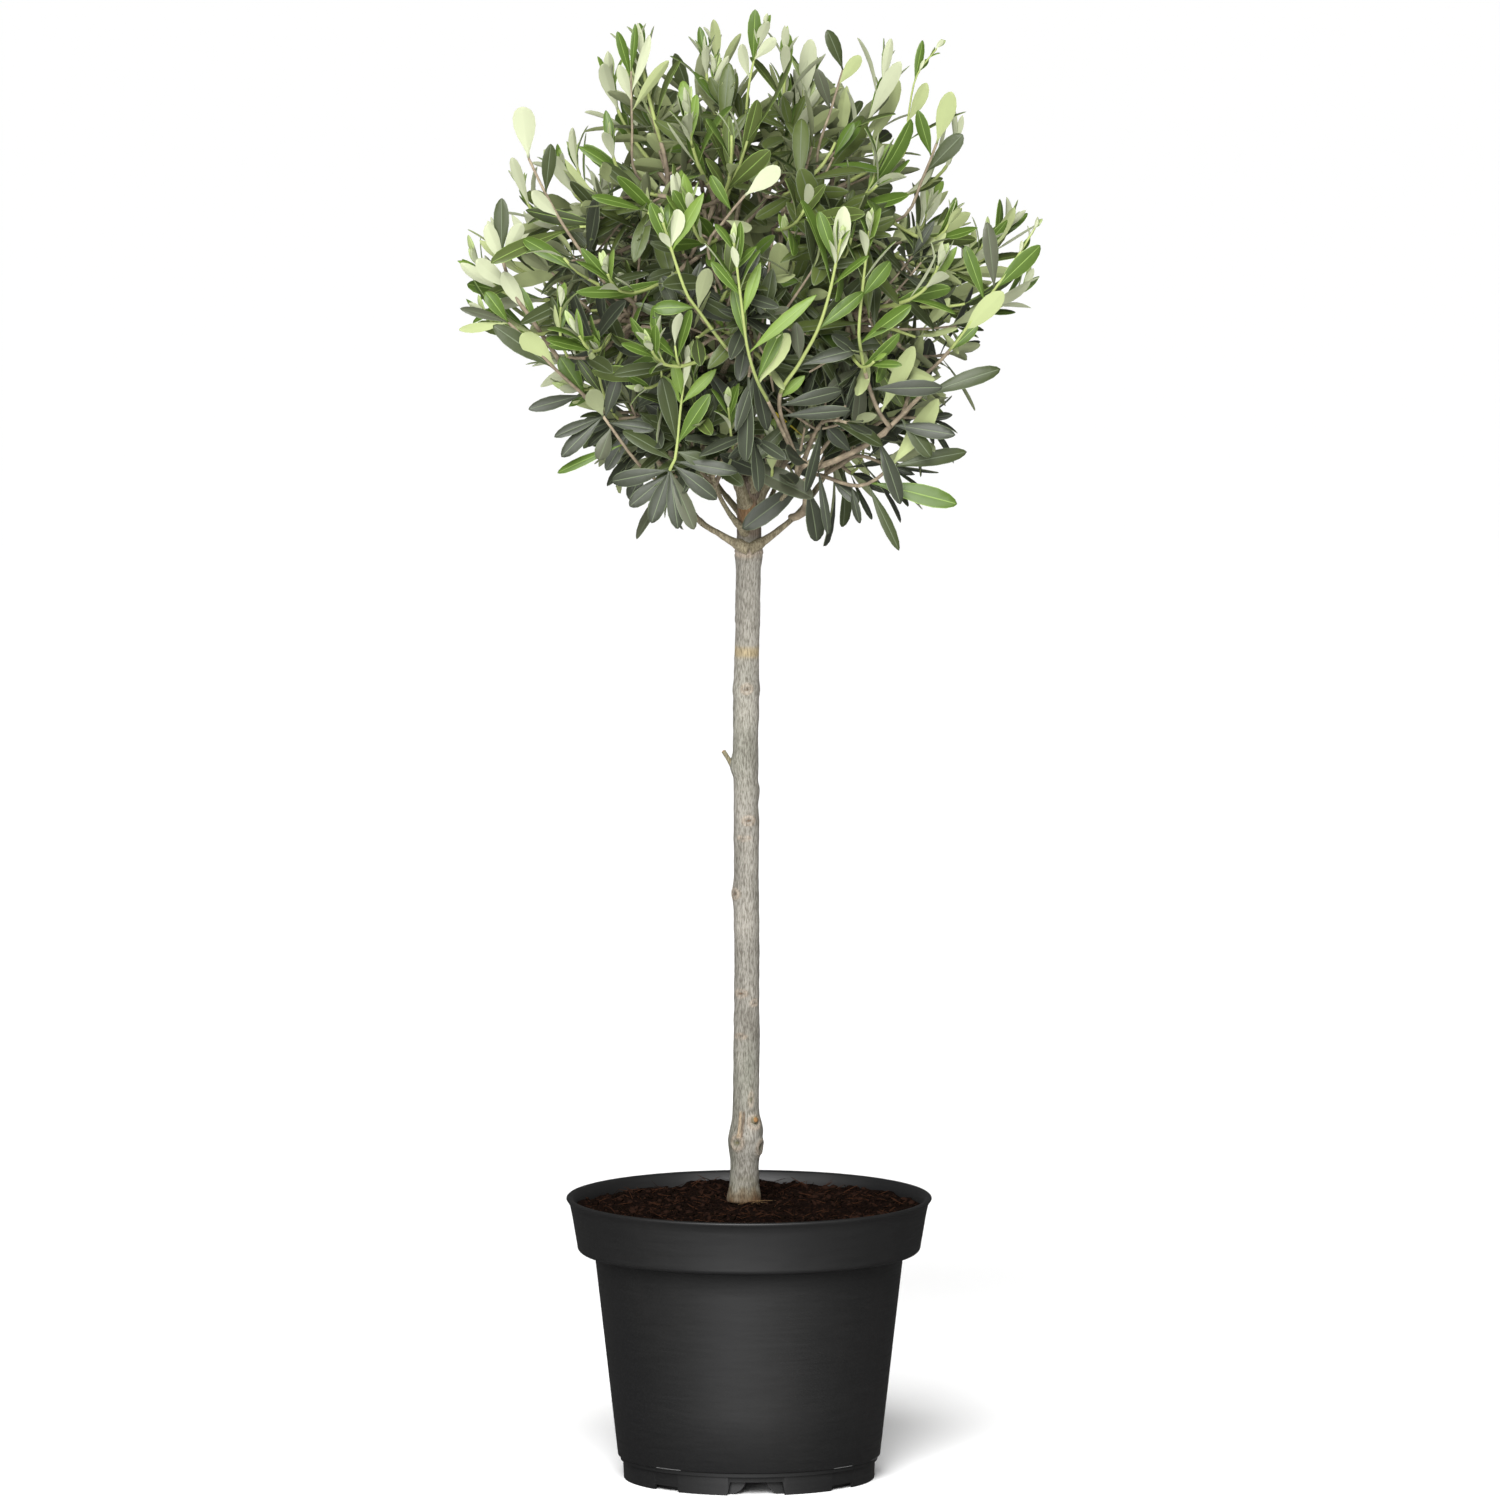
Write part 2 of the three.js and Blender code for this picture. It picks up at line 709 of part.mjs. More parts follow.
function loneLeaf(leaf, loop) {
  const positions = [...loop, leaf.left, leaf.right, leaf.tip].flatMap((p) => p.toArray());
  const [a, b, c, d, left, right, tip] = [0, 1, 2, 3, 4, 5, 6];
  return solidFrom(positions, [
    ...[a, c, b, a, d, c, a, b, right, a, right, left, left, right, tip],
    ...[b, c, right, c, tip, right, c, d, tip, d, a, left, d, left, tip],
  ]);
}

// Opposite pairs of twigs stand on the stem, from its end back. Each takes the tip that suits it best.
function growTwigs(stem, tips, fits) {
  const left = [...tips];
  const take = (from, way) => {
    const suits = (tip) => tip.place.clone().sub(from).normalize().dot(way);
    left.sort((a, b) => suits(b) - suits(a));
    return left.shift();
  };
  const twigs = [];
  for (let node = stem.nodes - 1; node >= 0; node--) {
    const ring = 1 + 2 * node;
    const { way, outwards } = stem.rings[ring];
    for (const face of pairFaces(node)) {
      const corners = faceCorners(stem, ring, face);
      const from = centreOf(corners);
      const heading = outwards(face).multiplyScalar(TWIG.outwards).add(way).normalize();
      const tip = left.length ? take(from, heading) : null;
      if (!tip) continue;
      const twig = twigShoot(from, heading, corners[0].clone().sub(from), tip);
      if (twig.length < LEAF.bare) continue;
      if (!fits(loneShoot(twig.rings, corners), twig.rings.map((r) => r.centre), TWIG.base)) continue;
      stem.grown.set(ring * 4 + face, twig);
      twigs.push(twig);
    }
  }
  return twigs;
}

function growLeaves(shoot, fits) {
  const { length: usual, width: broad, opening: angle, sizes } = LEAF;
  const { low, seed } = shoot.tip;
  const narrowest = low ? angle.low : angle.high;
  const draw = seeded(SEEDS.leaves + seed);
  for (let node = 0; node < shoot.nodes; node++) {
    const ring = 1 + 2 * node;
    const last = node === shoot.nodes - 1;
    for (const face of pairFaces(node)) {
      const opening = radians(narrowest + angle.varies * draw() + (last ? 0 : angle.older));
      const length = usual * mix(...sizes, draw());
      for (const [shorter, closer] of LEAF.fits) {
        const droop = low && closer === 1 ? LEAF.droop : 0;
        const size = length * shorter;
        const leaf = leafOn(shoot.rings[ring], face, opening * closer, size, (broad * size) / usual, droop);
        const shape = loneLeaf(leaf, faceCorners(shoot, ring, face));
        if (!leaf.sound || !fits(shape, [leaf.left, leaf.right, leaf.tip], 1)) continue;
        shoot.grown.set(ring * 4 + face, leaf);
        break;
      }
    }
  }
}

// One mass: a stem that meets its bough's tip, twigs that branch from it, and leaves on all of them.
function foliage(plan, plans, tips, limbs) {
  const stem = stemShoot(plan, tips);
  let taken = loneShoot(stem.rings);
  const fits = (shape, points, room) => {
    if (!points.every((p) => inSpace(p, plan, plans))) return false;
    if (points.some((p) => limbDistance(p, limbs.lines) < room + LIMB.clearance)) return false;
    if (shape.intersect(taken).volume() > SHARED || shape.intersect(limbs.solid).volume() > 0) return false;
    taken = taken.add(shape);
    return true;
  };
  for (const twig of growTwigs(stem, tips, fits)) growLeaves(twig, fits);
  const positions = [];
  const index = [];
  surface(stem, null, positions, index);
  return solidFrom(positions, index);
}

// Materials

const finish = (color, roughness) => new THREE.MeshStandardMaterial({ color, roughness, metalness: 0 });
const blackPlastic = finish(0x3a3a3c, 0.45);
const darkCompost = finish(0x3c281e, 0.95);
const greyBark = finish(0xafa99d, 0.85);
const oliveLeaf = finish(0x6d7d55, 0.6);

// The whole plant

const plant = new THREE.Group();
plant.add(mesh("pot", pot(), blackPlastic));
plant.add(mesh("compost", compost(), darkCompost));
plant.add(mesh("trunk", trunk(0), greyBark));

// Each bough stands 0.3 mm clear of what carries it.
const plans = boughPlans();
for (const plan of plans) {
  const carrier = plan.carrier ? bough(plan.carrier, GAP) : trunk(GAP);
  plant.add(mesh("bough_" + plan.name, bough(plan, 0).subtract(carrier), greyBark));
}

// Each tip belongs to the mass whose hub is nearest.
const limbs = allLimbs(plans);
const tips = headTips();
const nearest = ({ place }) =>
  plans.reduce((best, p) => (p.hub.distanceTo(place) < best.hub.distanceTo(place) ? p : best));
for (const plan of plans) {
  const own = tips.filter((tip) => nearest(tip) === plan);
  plant.add(mesh("foliage_" + plan.name, foliage(plan, plans, own, limbs), oliveLeaf));
}

export default plant;
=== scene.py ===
"""Olive tree grown as a standard, in a plastic nursery pot: its looks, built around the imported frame.

Sizes below are millimetres in the frame of the part: +Z up, the origin on the pot's axis on the
ground, and the front towards -Y. Azimuths are in degrees, anticlockwise from +X. Meshes are made
in metres. Every random draw is seeded.
"""

from math import acos, asin, atan2, ceil, cos, degrees, exp, hypot, pi, radians, sin, sqrt
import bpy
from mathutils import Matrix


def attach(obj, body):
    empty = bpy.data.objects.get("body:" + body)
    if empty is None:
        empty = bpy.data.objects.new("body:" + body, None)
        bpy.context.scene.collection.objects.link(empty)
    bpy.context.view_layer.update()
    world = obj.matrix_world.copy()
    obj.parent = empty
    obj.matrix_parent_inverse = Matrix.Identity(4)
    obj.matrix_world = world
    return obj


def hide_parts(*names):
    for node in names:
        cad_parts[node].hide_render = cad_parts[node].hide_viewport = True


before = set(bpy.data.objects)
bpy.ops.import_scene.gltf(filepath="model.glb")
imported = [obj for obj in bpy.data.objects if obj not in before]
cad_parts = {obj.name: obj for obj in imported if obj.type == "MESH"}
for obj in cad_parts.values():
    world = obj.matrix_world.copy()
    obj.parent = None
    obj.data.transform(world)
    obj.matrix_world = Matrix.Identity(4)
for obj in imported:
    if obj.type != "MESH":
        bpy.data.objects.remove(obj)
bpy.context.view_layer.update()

from types import SimpleNamespace as Values

import bpy
import numpy as np
from numpy.linalg import norm

MM = 0.001
UP = np.array([0.0, 0.0, 1.0])
GOLDEN = pi * (3 - sqrt(5))

# The pot
POT = Values(
    columns=160, height=209.5, lip=135.0, mouth=127.68, collar_head=131.7, collar_foot=126.5,
    collar_round=4.0, neck=125.1, shoulder=169.0, body_head=114.3, body_foot=97.0, ring_head=93.3,
    ring_foot=92.6, ring_height=15.5, ring_step=2.0, wall=2.0, floor=12.0, inner_ring=87.0,
    inner_ring_foot=0.8,
)
FRONT = -86.6  # azimuth of the wide cut in front
ENDS = (FRONT, FRONT + 180)
DIAGONALS = tuple(FRONT + turn for turn in (45, 135, 225, 315))
# Cuts in the foot ring, slanted at their sides, and arches in the low inner wall, rounded there.
RING_CUTS = (
    Values(radius=POT.ring_foot, azimuths=ENDS, width=43.0, height=10.0, slant=2.0, rounded=False),
    Values(radius=POT.ring_foot, azimuths=DIAGONALS, width=24.0, height=4.0, slant=1.0, rounded=False),
)
ARCHES = (Values(radius=POT.inner_ring, azimuths=ENDS, width=43.0, height=10.0, slant=13.75, rounded=True),)
WIDEST = 40  # degrees from its middle that no cut reaches
EDGE_SCUFF_AND_HIGHLIGHT = Values(row=5, grain=24.0, over=0.12, seed=81)  # worn places and a painted highlight on the edge over the foot ring

# The compost
COMPOST = Values(edge=200.5, crown=205.0, top=209.0, under=188.0, rim=127.0, rings=64, columns=220, seed=5)
# Its lumps: how high they stand, and their size.
LUMPS = [(2.8, 26), (2.6, 11), (1.0, 3.6), (0.5, 1.6)]
CRUMBS = Values(count=1500, least=1.0, most=3.6, reach=123.0, seed=61, shape_seed=71)
FIBRES = Values(count=1300, least=4.0, most=15.0, radius=0.22, reach=119.0, limit=122.0, top=208.4,
                dark=0.62, seed=62)
FINE_ROOTS = Values(count=9, reach=24.0, radius=0.22, first=-1.5, last=0.5, seed=63)

# The trunk
TRUNK = Values(
    foot=206.0, start=208.0, fork=693.0, tip=748.0, lean=-4.0, sway=1.2, foot_radius=11.3, waist=9.4,
    waist_at=300.0, head_radius=8.9, sides=60, step=1.5, rounding=7.0,
)
# Flare, burl, knots and forks: height, how far they stand out, half-length, and the side they are on.
SWELLINGS = [
    (208, 1.6, 12, None), (252, 2.4, 20, None), (262, 1.5, 12, 0), (436, 1.3, 14, 180), (490, 0.9, 12, -60),
    (512, 1.2, 9, 0), (531, 2.6, 11, 180), (588, 0.9, 9, None), (690, 1.3, 14, None), (742, 2.2, 16, None),
]
# Healed scars: height, azimuth, half-width, half-height, ridge and pit.
SCARS = [
    (589, -88, 3.8, 3.2, 0.5, 1.1), (491, -78, 4.2, 3.0, 0.5, 0.9), (478, -100, 4.4, 1.6, 0.35, 0.5),
    (436, -150, 4.4, 3.4, 0.8, 1.2), (362, -120, 4.6, 2.4, 0.45, 0.4), (355, -52, 3.2, 2.2, 0.6, 0.7),
    (330, -122, 4.4, 1.8, 0.45, 0.5), (251, -118, 4.4, 4.8, 0.9, 1.3), (247, -24, 4.6, 5.0, 1.5, 0.9),
    (283, -66, 1.8, 5.0, 0.2, 0.6), (266, -52, 4.6, 4.4, 0.7, 0.3), (400, 60, 4.2, 2.6, 0.6, 0.8),
    (300, 110, 4.4, 2.6, 0.6, 0.8), (545, 80, 3.8, 2.6, 0.6, 0.9), (640, 150, 3.6, 2.4, 0.5, 0.8),
]
EYE = Values(flat=1.7, wide=0.55, olive_below=300)  # a scar's dark eye against its rim
TONGUE = Values(azimuth=-112, low=254.0, high=275.0, half=1.3, out=0.9, deep=1.1)  # bark rolled over a slit
COLLAR = Values(at=689.5, half=6.0, pitch=2.3, deep=0.4)  # wrinkles under the fork
FORKED = Values(low=699.0, stain=(706.0, 736.0), stain_side=-108)  # brown bark over the fork
# Boughs that leave the trunk's front: how far forward they start, the share of their length over which they
# come back, how far each sags at most, and the sag's course along it.
CROTCH = Values(forward=8.6, over=0.55, ease=1.5, lower={"skirt_1": 1.5, "skirt_4": 6.0},
                sag=[(0, 0), (0.27, 0.45), (0.4, 0.95), (0.47, 0.93), (0.7, 0)])
PAINTED_LIGHT_BY_HEIGHT = Values(low=400.0, high=620.0, old=0.81, young=0.93)  # painted light and shade: how light the bark is painted by height, darker low down and lighter up the trunk; old and young are its shares there
PALE_BAND = (611.5, 620.5)  # an ochre band round the upper stem
# Damp bark over the compost: colour, height, how uneven its edge is, how far it fades, and its most.
DAMP = [("olive", 228, 7, 16, 0.5), ("brown", 220, 6, 12, 0.8)]
# Grains of the bark's relief: how far they stand out, and their size along the three axes.
RELIEF = [(0.34, (14, 14, 30)), (0.2, (5, 5, 9)), (0.14, (1.5, 1.5, 5)), (0.1, (0.9, 0.9, 3))]
# Cut twigs: height, azimuth, length, radius and how steeply they rise in degrees.
STUBS = [(529, 186, 12.0, 1.6, 58), (267, -52, 1.4, 2.9, 15)]
BARK = {
    "base": (136, 133, 125), "pale": (160, 156, 147), "dark": (102, 98, 89), "green": (120, 124, 109),
    "ochre": (147, 132, 100), "brown": (86, 66, 46), "olive": (92, 88, 58), "tan": (148, 130, 106),
    "scar": (162, 145, 127), "knob": (104, 92, 80), "stain": (146, 112, 76),
}
WARMER = np.array([[0.9, 0.82, 0.62]])  # the boughs' bark against the trunk's

# The head of foliage, by the rule of the solids
HEAD = Values(middle=880.0, tips=120, inner_tips=30, inner_reach=0.62, clear_stem=-70.0, turn=0.2,
              ragged=8.0, low=-0.1)
REACH = [(-90, 150), (-60, 168), (-40, 176), (-20, 186), (0, 203), (15, 209), (35, 206), (60, 208),
         (90, 208)]
# Lobes: azimuth, elevation, how far they stand out, and their spread.
LOBES = [
    (0, 54, 23, 15), (0, 14, 13, 22), (0, -44, 26, 17), (0, 84, 12, 12), (180, 8, 12, 24), (180, 34, -3, 14),
    (180, 62, 14, 14), (180, -34, -14, 16), (70, 12, 12, 26), (-105, 6, 4, 26), (-60, -45, 14, 18),
    (110, 48, 14, 18),
]
# Where the sky shows between lobes: azimuth, elevation, depth, and half-widths along both.
NOTCHES = [
    (0, 30, 52, 48, 8), (0, 70, 16, 60, 6), (0, -13, 34, 40, 8), (0, -37, 26, 34, 8),
    (180, 43, 42, 40, 9), (180, 22, 26, 34, 7), (180, 84, 24, 90, 6), (0, 79, 26, 80, 6),
    (0, 56, 10, 60, 9), (180, -16, 20, 34, 7),
]
# Tiers of boughs. Hub and end are a radius and a height. A side bough springs from a share of its carrier.
TIERS = [
    {"name": "skirt", "count": 6, "turn": 0, "hub": (100, 772), "end": (66, 764), "from": (693, 712),
     "rise": 26, "base": 3.1, "tip": 1.8},
    {"name": "side", "count": 6, "turn": 30, "hub": (143, 880), "end": (98, 868), "from": (0.34, 0.42),
     "rise": 34, "base": 3.0, "tip": 1.9},
    {"name": "upper", "count": 6, "turn": 0, "hub": (98, 985), "end": (62, 958), "from": (722, 733),
     "rise": 52, "base": 4.6, "tip": 2.2},
    {"name": "top", "count": 1, "turn": 0, "hub": (0, 1000), "end": (0, 965), "from": (744, 744),
     "rise": 88, "base": 4.8, "tip": 2.3},
]
BOUGH = Values(turn=10, lift=12, springing=0.36, arriving=0.3, arrival=66, least=0.5, most=0.85, step=0.02,
               sides=14, ring=3.0, flare=0.55, flared_over=4.5, knots=5, knot_half=2.4)
STEM = Values(tip=1.5, bare=12.0)  # a mass's stem
TWIG = Values(base=2.0, tip=1.0, start=0.34, outwards=1.1, bow=0.12, level=-0.3, droop=0.5, upright=-0.75,
              rise=1.9, low_rise=0.4, climbing=(0.2, 0.6), arriving=0.4, least=0.3, lobe=10.0)
SIDE_SHOOT = Values(first_node=2, base=1.15, tip=0.75, least=14.0, most=62.0, start=0.4, bare=5.0,
                    held_back=(8, 60))
SPRIG = Values(share=0.34, length=(30, 62), way=0.4, base=1.2, tip=0.8)
MIXED = Values(low_to=-0.5, high_to=0.3, share=0.3)  # sines between which both habits occur
MARGIN = 0.5  # how far a bough keeps from the next mass's space
PARALLEL = 0.95  # cosine above which two ways count as parallel
SEEDS = Values(tips=1800, boughs=1000, leaves=2400, ends=3100, shown=5200, knots=300)

# How leaves stand on growing shoots high in the head, and on old twigs low in it and inside it. The first
# three are for pairs from the shoot's tip back; angles are in degrees.
HABITS = {
    "spacing": ((8, 13, 17, 20), (6, 9, 12, 15)),
    "opening": ((9, 15, 20, 26), (34, 52, 66, 76)),
    "size": ((0.46, 0.68, 0.86, 1.0), (0.7, 0.94, 1.04, 1.04)),
    "wide": (0.88, 1.0),
    "leafy": (0.52, 0.4),
    "side_share": (0.26, 0.34),
    "inner": (0.55, 0.4),
    "inner_share": (0.28, 0.3),
    "roll": (0.5, 0.85),
    "long_share": (0.07, 0.16),
    "side_opening": ((26, 42), (40, 60)),
    "side_length": ((0.5, 0.95), (0.4, 0.8)),
    "side_rise": (1.0, 0.1),
    "to_light": (0.1, 0.6),
    "droop": ((-0.3, 0.0), (0.0, 0.16)),
    "curl": ((0.1, 0.6), (0.05, 0.4)),
    "end_size": ((0.24, 0.42), (0.4, 0.7)),
}
GROWING, OLD = (Values(**{name: both[n] for name, both in HABITS.items()}) for n in (0, 1))
WOODY = 0.38  # share of a growing shoot that is wood already
LIGHTER_FROM = 0.25  # sine above which the leaves of old twigs take the greener lit looks, which are painted light
HANGING = Values(below=-0.35, share=0.12)  # how much more leaves droop on twigs under a sine
# How far past its leafy share a shoot still bears leaves, and the share of older leaves that is lost.
DROPPED = Values(past=10.0, node=3, share=0.15)
FORK = Values(radius=46.0, top=754.0, share=0.04)  # the space round the fork, and its share of leaves

# Leaves at their real size
LEAF = Values(length=49.0, width=12.2, thickness=0.6, bare=8.0,
              ahead={"high": (14.0, 46.0), "low": (26.0, 40.0)})
PAST = [(-0.6, 30), (-0.3, 18), (0.0, 3)]  # how far leaves may pass the outline, by the twig's sine
LEAF_STATIONS = (0.0, 0.1, 0.24, 0.4, 0.58, 0.75, 0.89, 0.97, 1.0)
BLUNT_WIDTHS = (0.12, 0.14, 0.38, 0.72, 0.96, 1.0, 0.8, 0.42, 0.05)
ACUTE_WIDTHS = (0.12, 0.15, 0.52, 0.88, 1.0, 0.84, 0.48, 0.17, 0.03)
# Lines along a blade, from its left margin over the upper face and back under it: share of the half-width,
# face (1 upper, 0 margin, -1 under), and the kind of the strip up to the next line.
BLADE = (
    (-1.0, 0, "rib"), (-0.93, 1, "top"), (-0.055, 1, "rib"), (0.055, 1, "top"), (0.93, 1, "rib"),
    (1.0, 0, "under"), (0.08, -1, "ridge"), (-0.08, -1, "under"),
)
OLD_LEAF = (31.0, -70.0, 782.0)  # where one leaf has turned yellow

# Looks of the leaves: upper faces and undersides, each from a spray's darkest tone to its lightest, and rib.
DEALT = {
    "lit": ("slate deep deep olive olive green", "dull sage", "dull"),
    "shaded": ("slate slate deep deep grey olive", "dull sage", "dull"),
    "newest": ("fresh young", "pale", "bright"),
    "new": ("olive green green fresh", "sage pale pale", "bright"),
    "older": ("deep olive green", "sage sage pale", "bright"),
}
SHOWN_LOOKS = {
    "fresh": ("fresh", "pale", "bright"),
    "green": ("green", "sage", "bright"),
    "deep": ("deep", "dull", "dull"),
    "grey": ("grey", "dull", "dull"),
    "slate": ("slate", "dull", "dull"),
    "pale": ("green", "pale", "bright"),
    "sage": ("green", "sage", "bright"),
    "dull": ("deep", "dull", "dull"),
}
# Display colours of a blade's faces by the first word of their name, with roughness, gloss and veins.
FACES = {
    "leaf_": ({
        "slate": (53, 57, 46), "deep": (56, 64, 37), "grey": (74, 77, 61), "olive": (72, 83, 41),
        "green": (70, 91, 34), "fresh": (99, 121, 53), "young": (148, 161, 110), "yellow": (214, 190, 50),
    }, 0.42, 0.25, 0.25),
    "under_": ({"dull": (122, 128, 96), "sage": (147, 156, 110), "pale": (166, 171, 142)}, 0.72, 0.2, 0.15),
    "rib_": ({"dull": (88, 97, 74), "bright": (112, 134, 66)}, 0.6, 0.3, 0),
}

# Shoots that stand out in front. Each has its radius at both ends, the share of it from which young leaves
# clothe it (1 for none), its way, and single leaves: x and z at base and tip, width, and look.
SHOWN = [
    (1.6, 0.9, 0.7,
     [(15, -120, 815), (6, -148, 836), (-1, -168, 862), (-5, -184, 893), (-11, -198, 944)],
     [(5, 861, 47, 904, 10, "fresh"), (9, 834, 29, 872, 15, "sage"), (8, 836, 23, 874, 11, "green"),
      (-5, 888, 7, 928, 9, "fresh"), (-9, 905, -26, 930, 9, "green"), (-3, 866, -11, 908, 10, "green")]),
    (1.6, 1.0, 0.75,
     [(-6, -115, 846), (-17, -134, 859), (-37, -158, 889), (-47, -168, 906), (-63, -182, 957)],
     [(-38, 891, -70, 893, 12, "green"), (-35, 890, -31, 924, 12, "dull"), (-59, 938, -49, 968, 12, "pale"),
      (-57, 935, -36, 979, 11, "fresh"), (-61, 932, -72, 972, 11, "green")]),
    (1.9, 1.0, 0.75,
     [(22, -110, 815), (37, -134, 847), (50, -156, 874), (59, -170, 904), (67, -182, 945)],
     [(53, 874, 83, 904, 11, "green"), (37, 847, 34, 878, 11, "grey"), (38, 845, 78, 860, 12, "slate"),
      (27, 812, 68, 824, 12, "slate"), (64, 920, 71, 970, 14, "pale"), (60, 925, 52, 965, 10, "green"),
      (22, 818, 40, 836, 8, "fresh"), (36, 806, 74, 809, 11, "slate")]),
    (1.7, 0.8, 0.94,
     [(-45, -70, 752), (-58, -106, 763), (-54, -112, 775), (-50, -116, 814), (-46, -118, 843)],
     [(-60, 767, -101, 757, 13, "slate"), (-60, 765, -72, 726, 13, "slate"),
      (-57, 765, -53, 723, 12, "slate"), (-56, 765, -40, 722, 13, "grey"),
      (-54, 768, -24, 744, 13, "slate"), (-54, 770, -9, 766, 11, "slate"), (-61, 773, -90, 798, 13, "deep"),
      (-54, 780, -31, 772, 11, "deep"), (-54, 785, -63, 835, 14, "deep"), (-50, 783, -30, 823, 12, "green"),
      (-48, 816, -24, 841, 9, "fresh"), (-51, 816, -62, 836, 8, "fresh"), (-51, 819, -55, 847, 9, "fresh"),
      (-47, 825, -43, 853, 6, "pale"), (-75, 757, -88, 738, 12, "slate")]),
    (3.1, 1.6, 1,
     [(41, -8, 721), (43, -26, 743), (49, -38, 757), (66, -54, 766), (95, -66, 784), (127, -72, 816)],
     [(124, 815, 183, 839, 13, "deep"), (108, 792, 151, 788, 12, "slate"), (95, 782, 113, 736, 13, "slate"),
      (46, 742, 52, 701, 15, "slate"), (52, 756, 60, 708, 7, "slate"), (43, 750, -4, 712, 16, "slate"),
      (112, 800, 134, 770, 12, "deep"), (76, 770, 58, 790, 12, "slate")]),
    (1.8, 0.9, 0.7,
     [(104, -68, 790), (96, -80, 803), (88, -98, 826), (82, -125, 856), (81, -142, 881), (88, -158, 948)],
     [(84, 862, 118, 891, 13, "green"), (88, 899, 103, 924, 12, "green"), (98, 804, 122, 857, 13, "sage"),
      (90, 824, 142, 825, 13, "slate"), (84, 850, 62, 868, 11, "slate")]),
    (1.6, 0.8, 0.8,
     [(121, -50, 819), (145, -58, 844), (173, -60, 882), (196, -62, 915), (210, -60, 938)],
     [(156, 857, 187, 892, 15, "sage"), (183, 892, 214, 925, 14, "green"), (180, 893, 176, 942, 12, "grey"),
      (173, 884, 160, 925, 10, "green"), (146, 846, 168, 866, 9, "green")]),
    (1.8, 1.2, 1,
     [(47, -14, 750), (75, -36, 744), (90, -48, 748), (104, -55, 760)],
     [(90, 748, 153, 734, 16, "green"), (104, 759, 142, 812, 17, "sage"), (104, 762, 160, 773, 12, "deep"),
      (87, 747, 111, 698, 9, "deep"), (60, 747, 81, 731, 10, "slate"), (76, 744, 80, 715, 7, "slate")]),
    (1.6, 1.1, 1,
     [(-108, -40, 800), (-140, -60, 831), (-159, -62, 851), (-177, -60, 868)],
     [(-142, 833, -187, 867, 15, "deep"), (-122, 811, -139, 841, 14, "green"),
      (-141, 832, -168, 862, 16, "sage"), (-177, 868, -193, 891, 11, "green"),
      (-178, 868, -211, 881, 9, "grey"), (-178, 867, -214, 862, 8, "sage"),
      (-124, 812, -162, 804, 11, "slate")]),
    (2.1, 1.3, 1,
     [(-125, -30, 815), (-161, -45, 870), (-173, -48, 888), (-182, -45, 915)],
     [(-174, 890, -202, 915, 13, "pale"), (-180, 908, -194, 940, 11, "pale"),
      (-163, 873, -183, 906, 12, "pale"), (-182, 914, -182, 958, 12, "deep"),
      (-181, 910, -168, 945, 11, "pale"), (-152, 857, -172, 892, 10, "green")]),
    (1.5, 1.1, 1,
     [(-62, -70, 750), (-82, -90, 768), (-107, -104, 804)],
     [(-108, 803, -139, 777, 12, "slate"), (-109, 805, -143, 791, 10, "slate"),
      (-100, 796, -110, 772, 12, "grey"), (-107, 804, -118, 828, 14, "dull"),
      (-102, 799, -70, 796, 10, "slate"), (-90, 784, -142, 764, 8, "green"),
      (-106, 803, -96, 836, 11, "slate"), (-74, 765, -88, 741, 12, "slate")]),
    (1.2, 0.8, 0.72,
     [(-2, -25, 1020), (3, -28, 1056), (11, -28, 1084)],
     [(2, 1057, 4, 1096, 10, "green"), (5, 1064, 13, 1092, 9, "pale"), (4, 1058, 20, 1077, 9, "pale"),
      (0, 1044, -8, 1072, 9, "pale")]),
    (1.2, 0.9, 1,
     [(50, -25, 985), (60, -22, 1020), (69, -20, 1050)],
     [(70, 1050, 60, 1080, 11, "deep"), (66, 1038, 82, 1062, 10, "sage"),
      (60, 1020, 50, 1052, 10, "grey")]),
    (1.2, 0.8, 1,
     [(-84, -28, 975), (-86, -25, 1010), (-87, -25, 1050)],
     [(-88, 1048, -82, 1084, 6, "green"), (-89, 1044, -96, 1080, 8, "green"),
      (-86, 1028, -96, 1056, 9, "pale"), (-86, 1034, -71, 1078, 8, "pale"),
      (-86, 1020, -60, 1064, 9, "sage")]),
    (1.0, 0.6, 0.72,
     [(112, -20, 985), (117, -20, 1015), (123, -20, 1045), (138, -20, 1066)],
     [(122, 1040, 128, 1072, 7, "green"), (117, 1012, 132, 1042, 11, "sage")]),
    (1.4, 1.0, 1,
     [(110, -30, 940), (128, -30, 972), (138, -32, 997)],
     [(138, 996, 149, 1038, 14, "sage"), (130, 974, 157, 1004, 14, "deep"),
      (134, 988, 124, 1022, 10, "green")]),
    (1.4, 1.0, 1,
     [(-130, -60, 930), (-149, -56, 962), (-162, -55, 989)],
     [(-162, 988, -167, 1030, 17, "pale"), (-140, 946, -160, 966, 12, "pale"),
      (-150, 964, -146, 1000, 11, "deep")]),
    (1.4, 1.0, 1,
     [(-30, -140, 930), (-17, -168, 958), (-3, -180, 977)],
     [(-3, 977, 24, 1000, 14, "pale"), (-12, 965, -28, 990, 9, "green"), (-18, 958, 2, 950, 9, "dull")]),
]
SHOWN_VIGOUR = 1.9  # the radius of a shoot whose leaves are of full size
CLEARED = Values(aside=13.0, behind=10.0)  # how far from these the other leaves in front of them keep


# Small tools

def mix(a, b, t):
    return a + (b - a) * t


def clamp(x, low=0.0, high=1.0):
    return min(high, max(low, x))


def unit(vector):
    return vector / norm(vector)


def along(azimuth, elevation):
    """The direction at an azimuth and an elevation, both in radians."""
    flat = cos(elevation)
    return np.array([cos(azimuth) * flat, sin(azimuth) * flat, sin(elevation)])


def across(vector, way):
    """The part of a vector that is square to a way, as a unit vector."""
    return unit(vector - way * np.dot(vector, way))


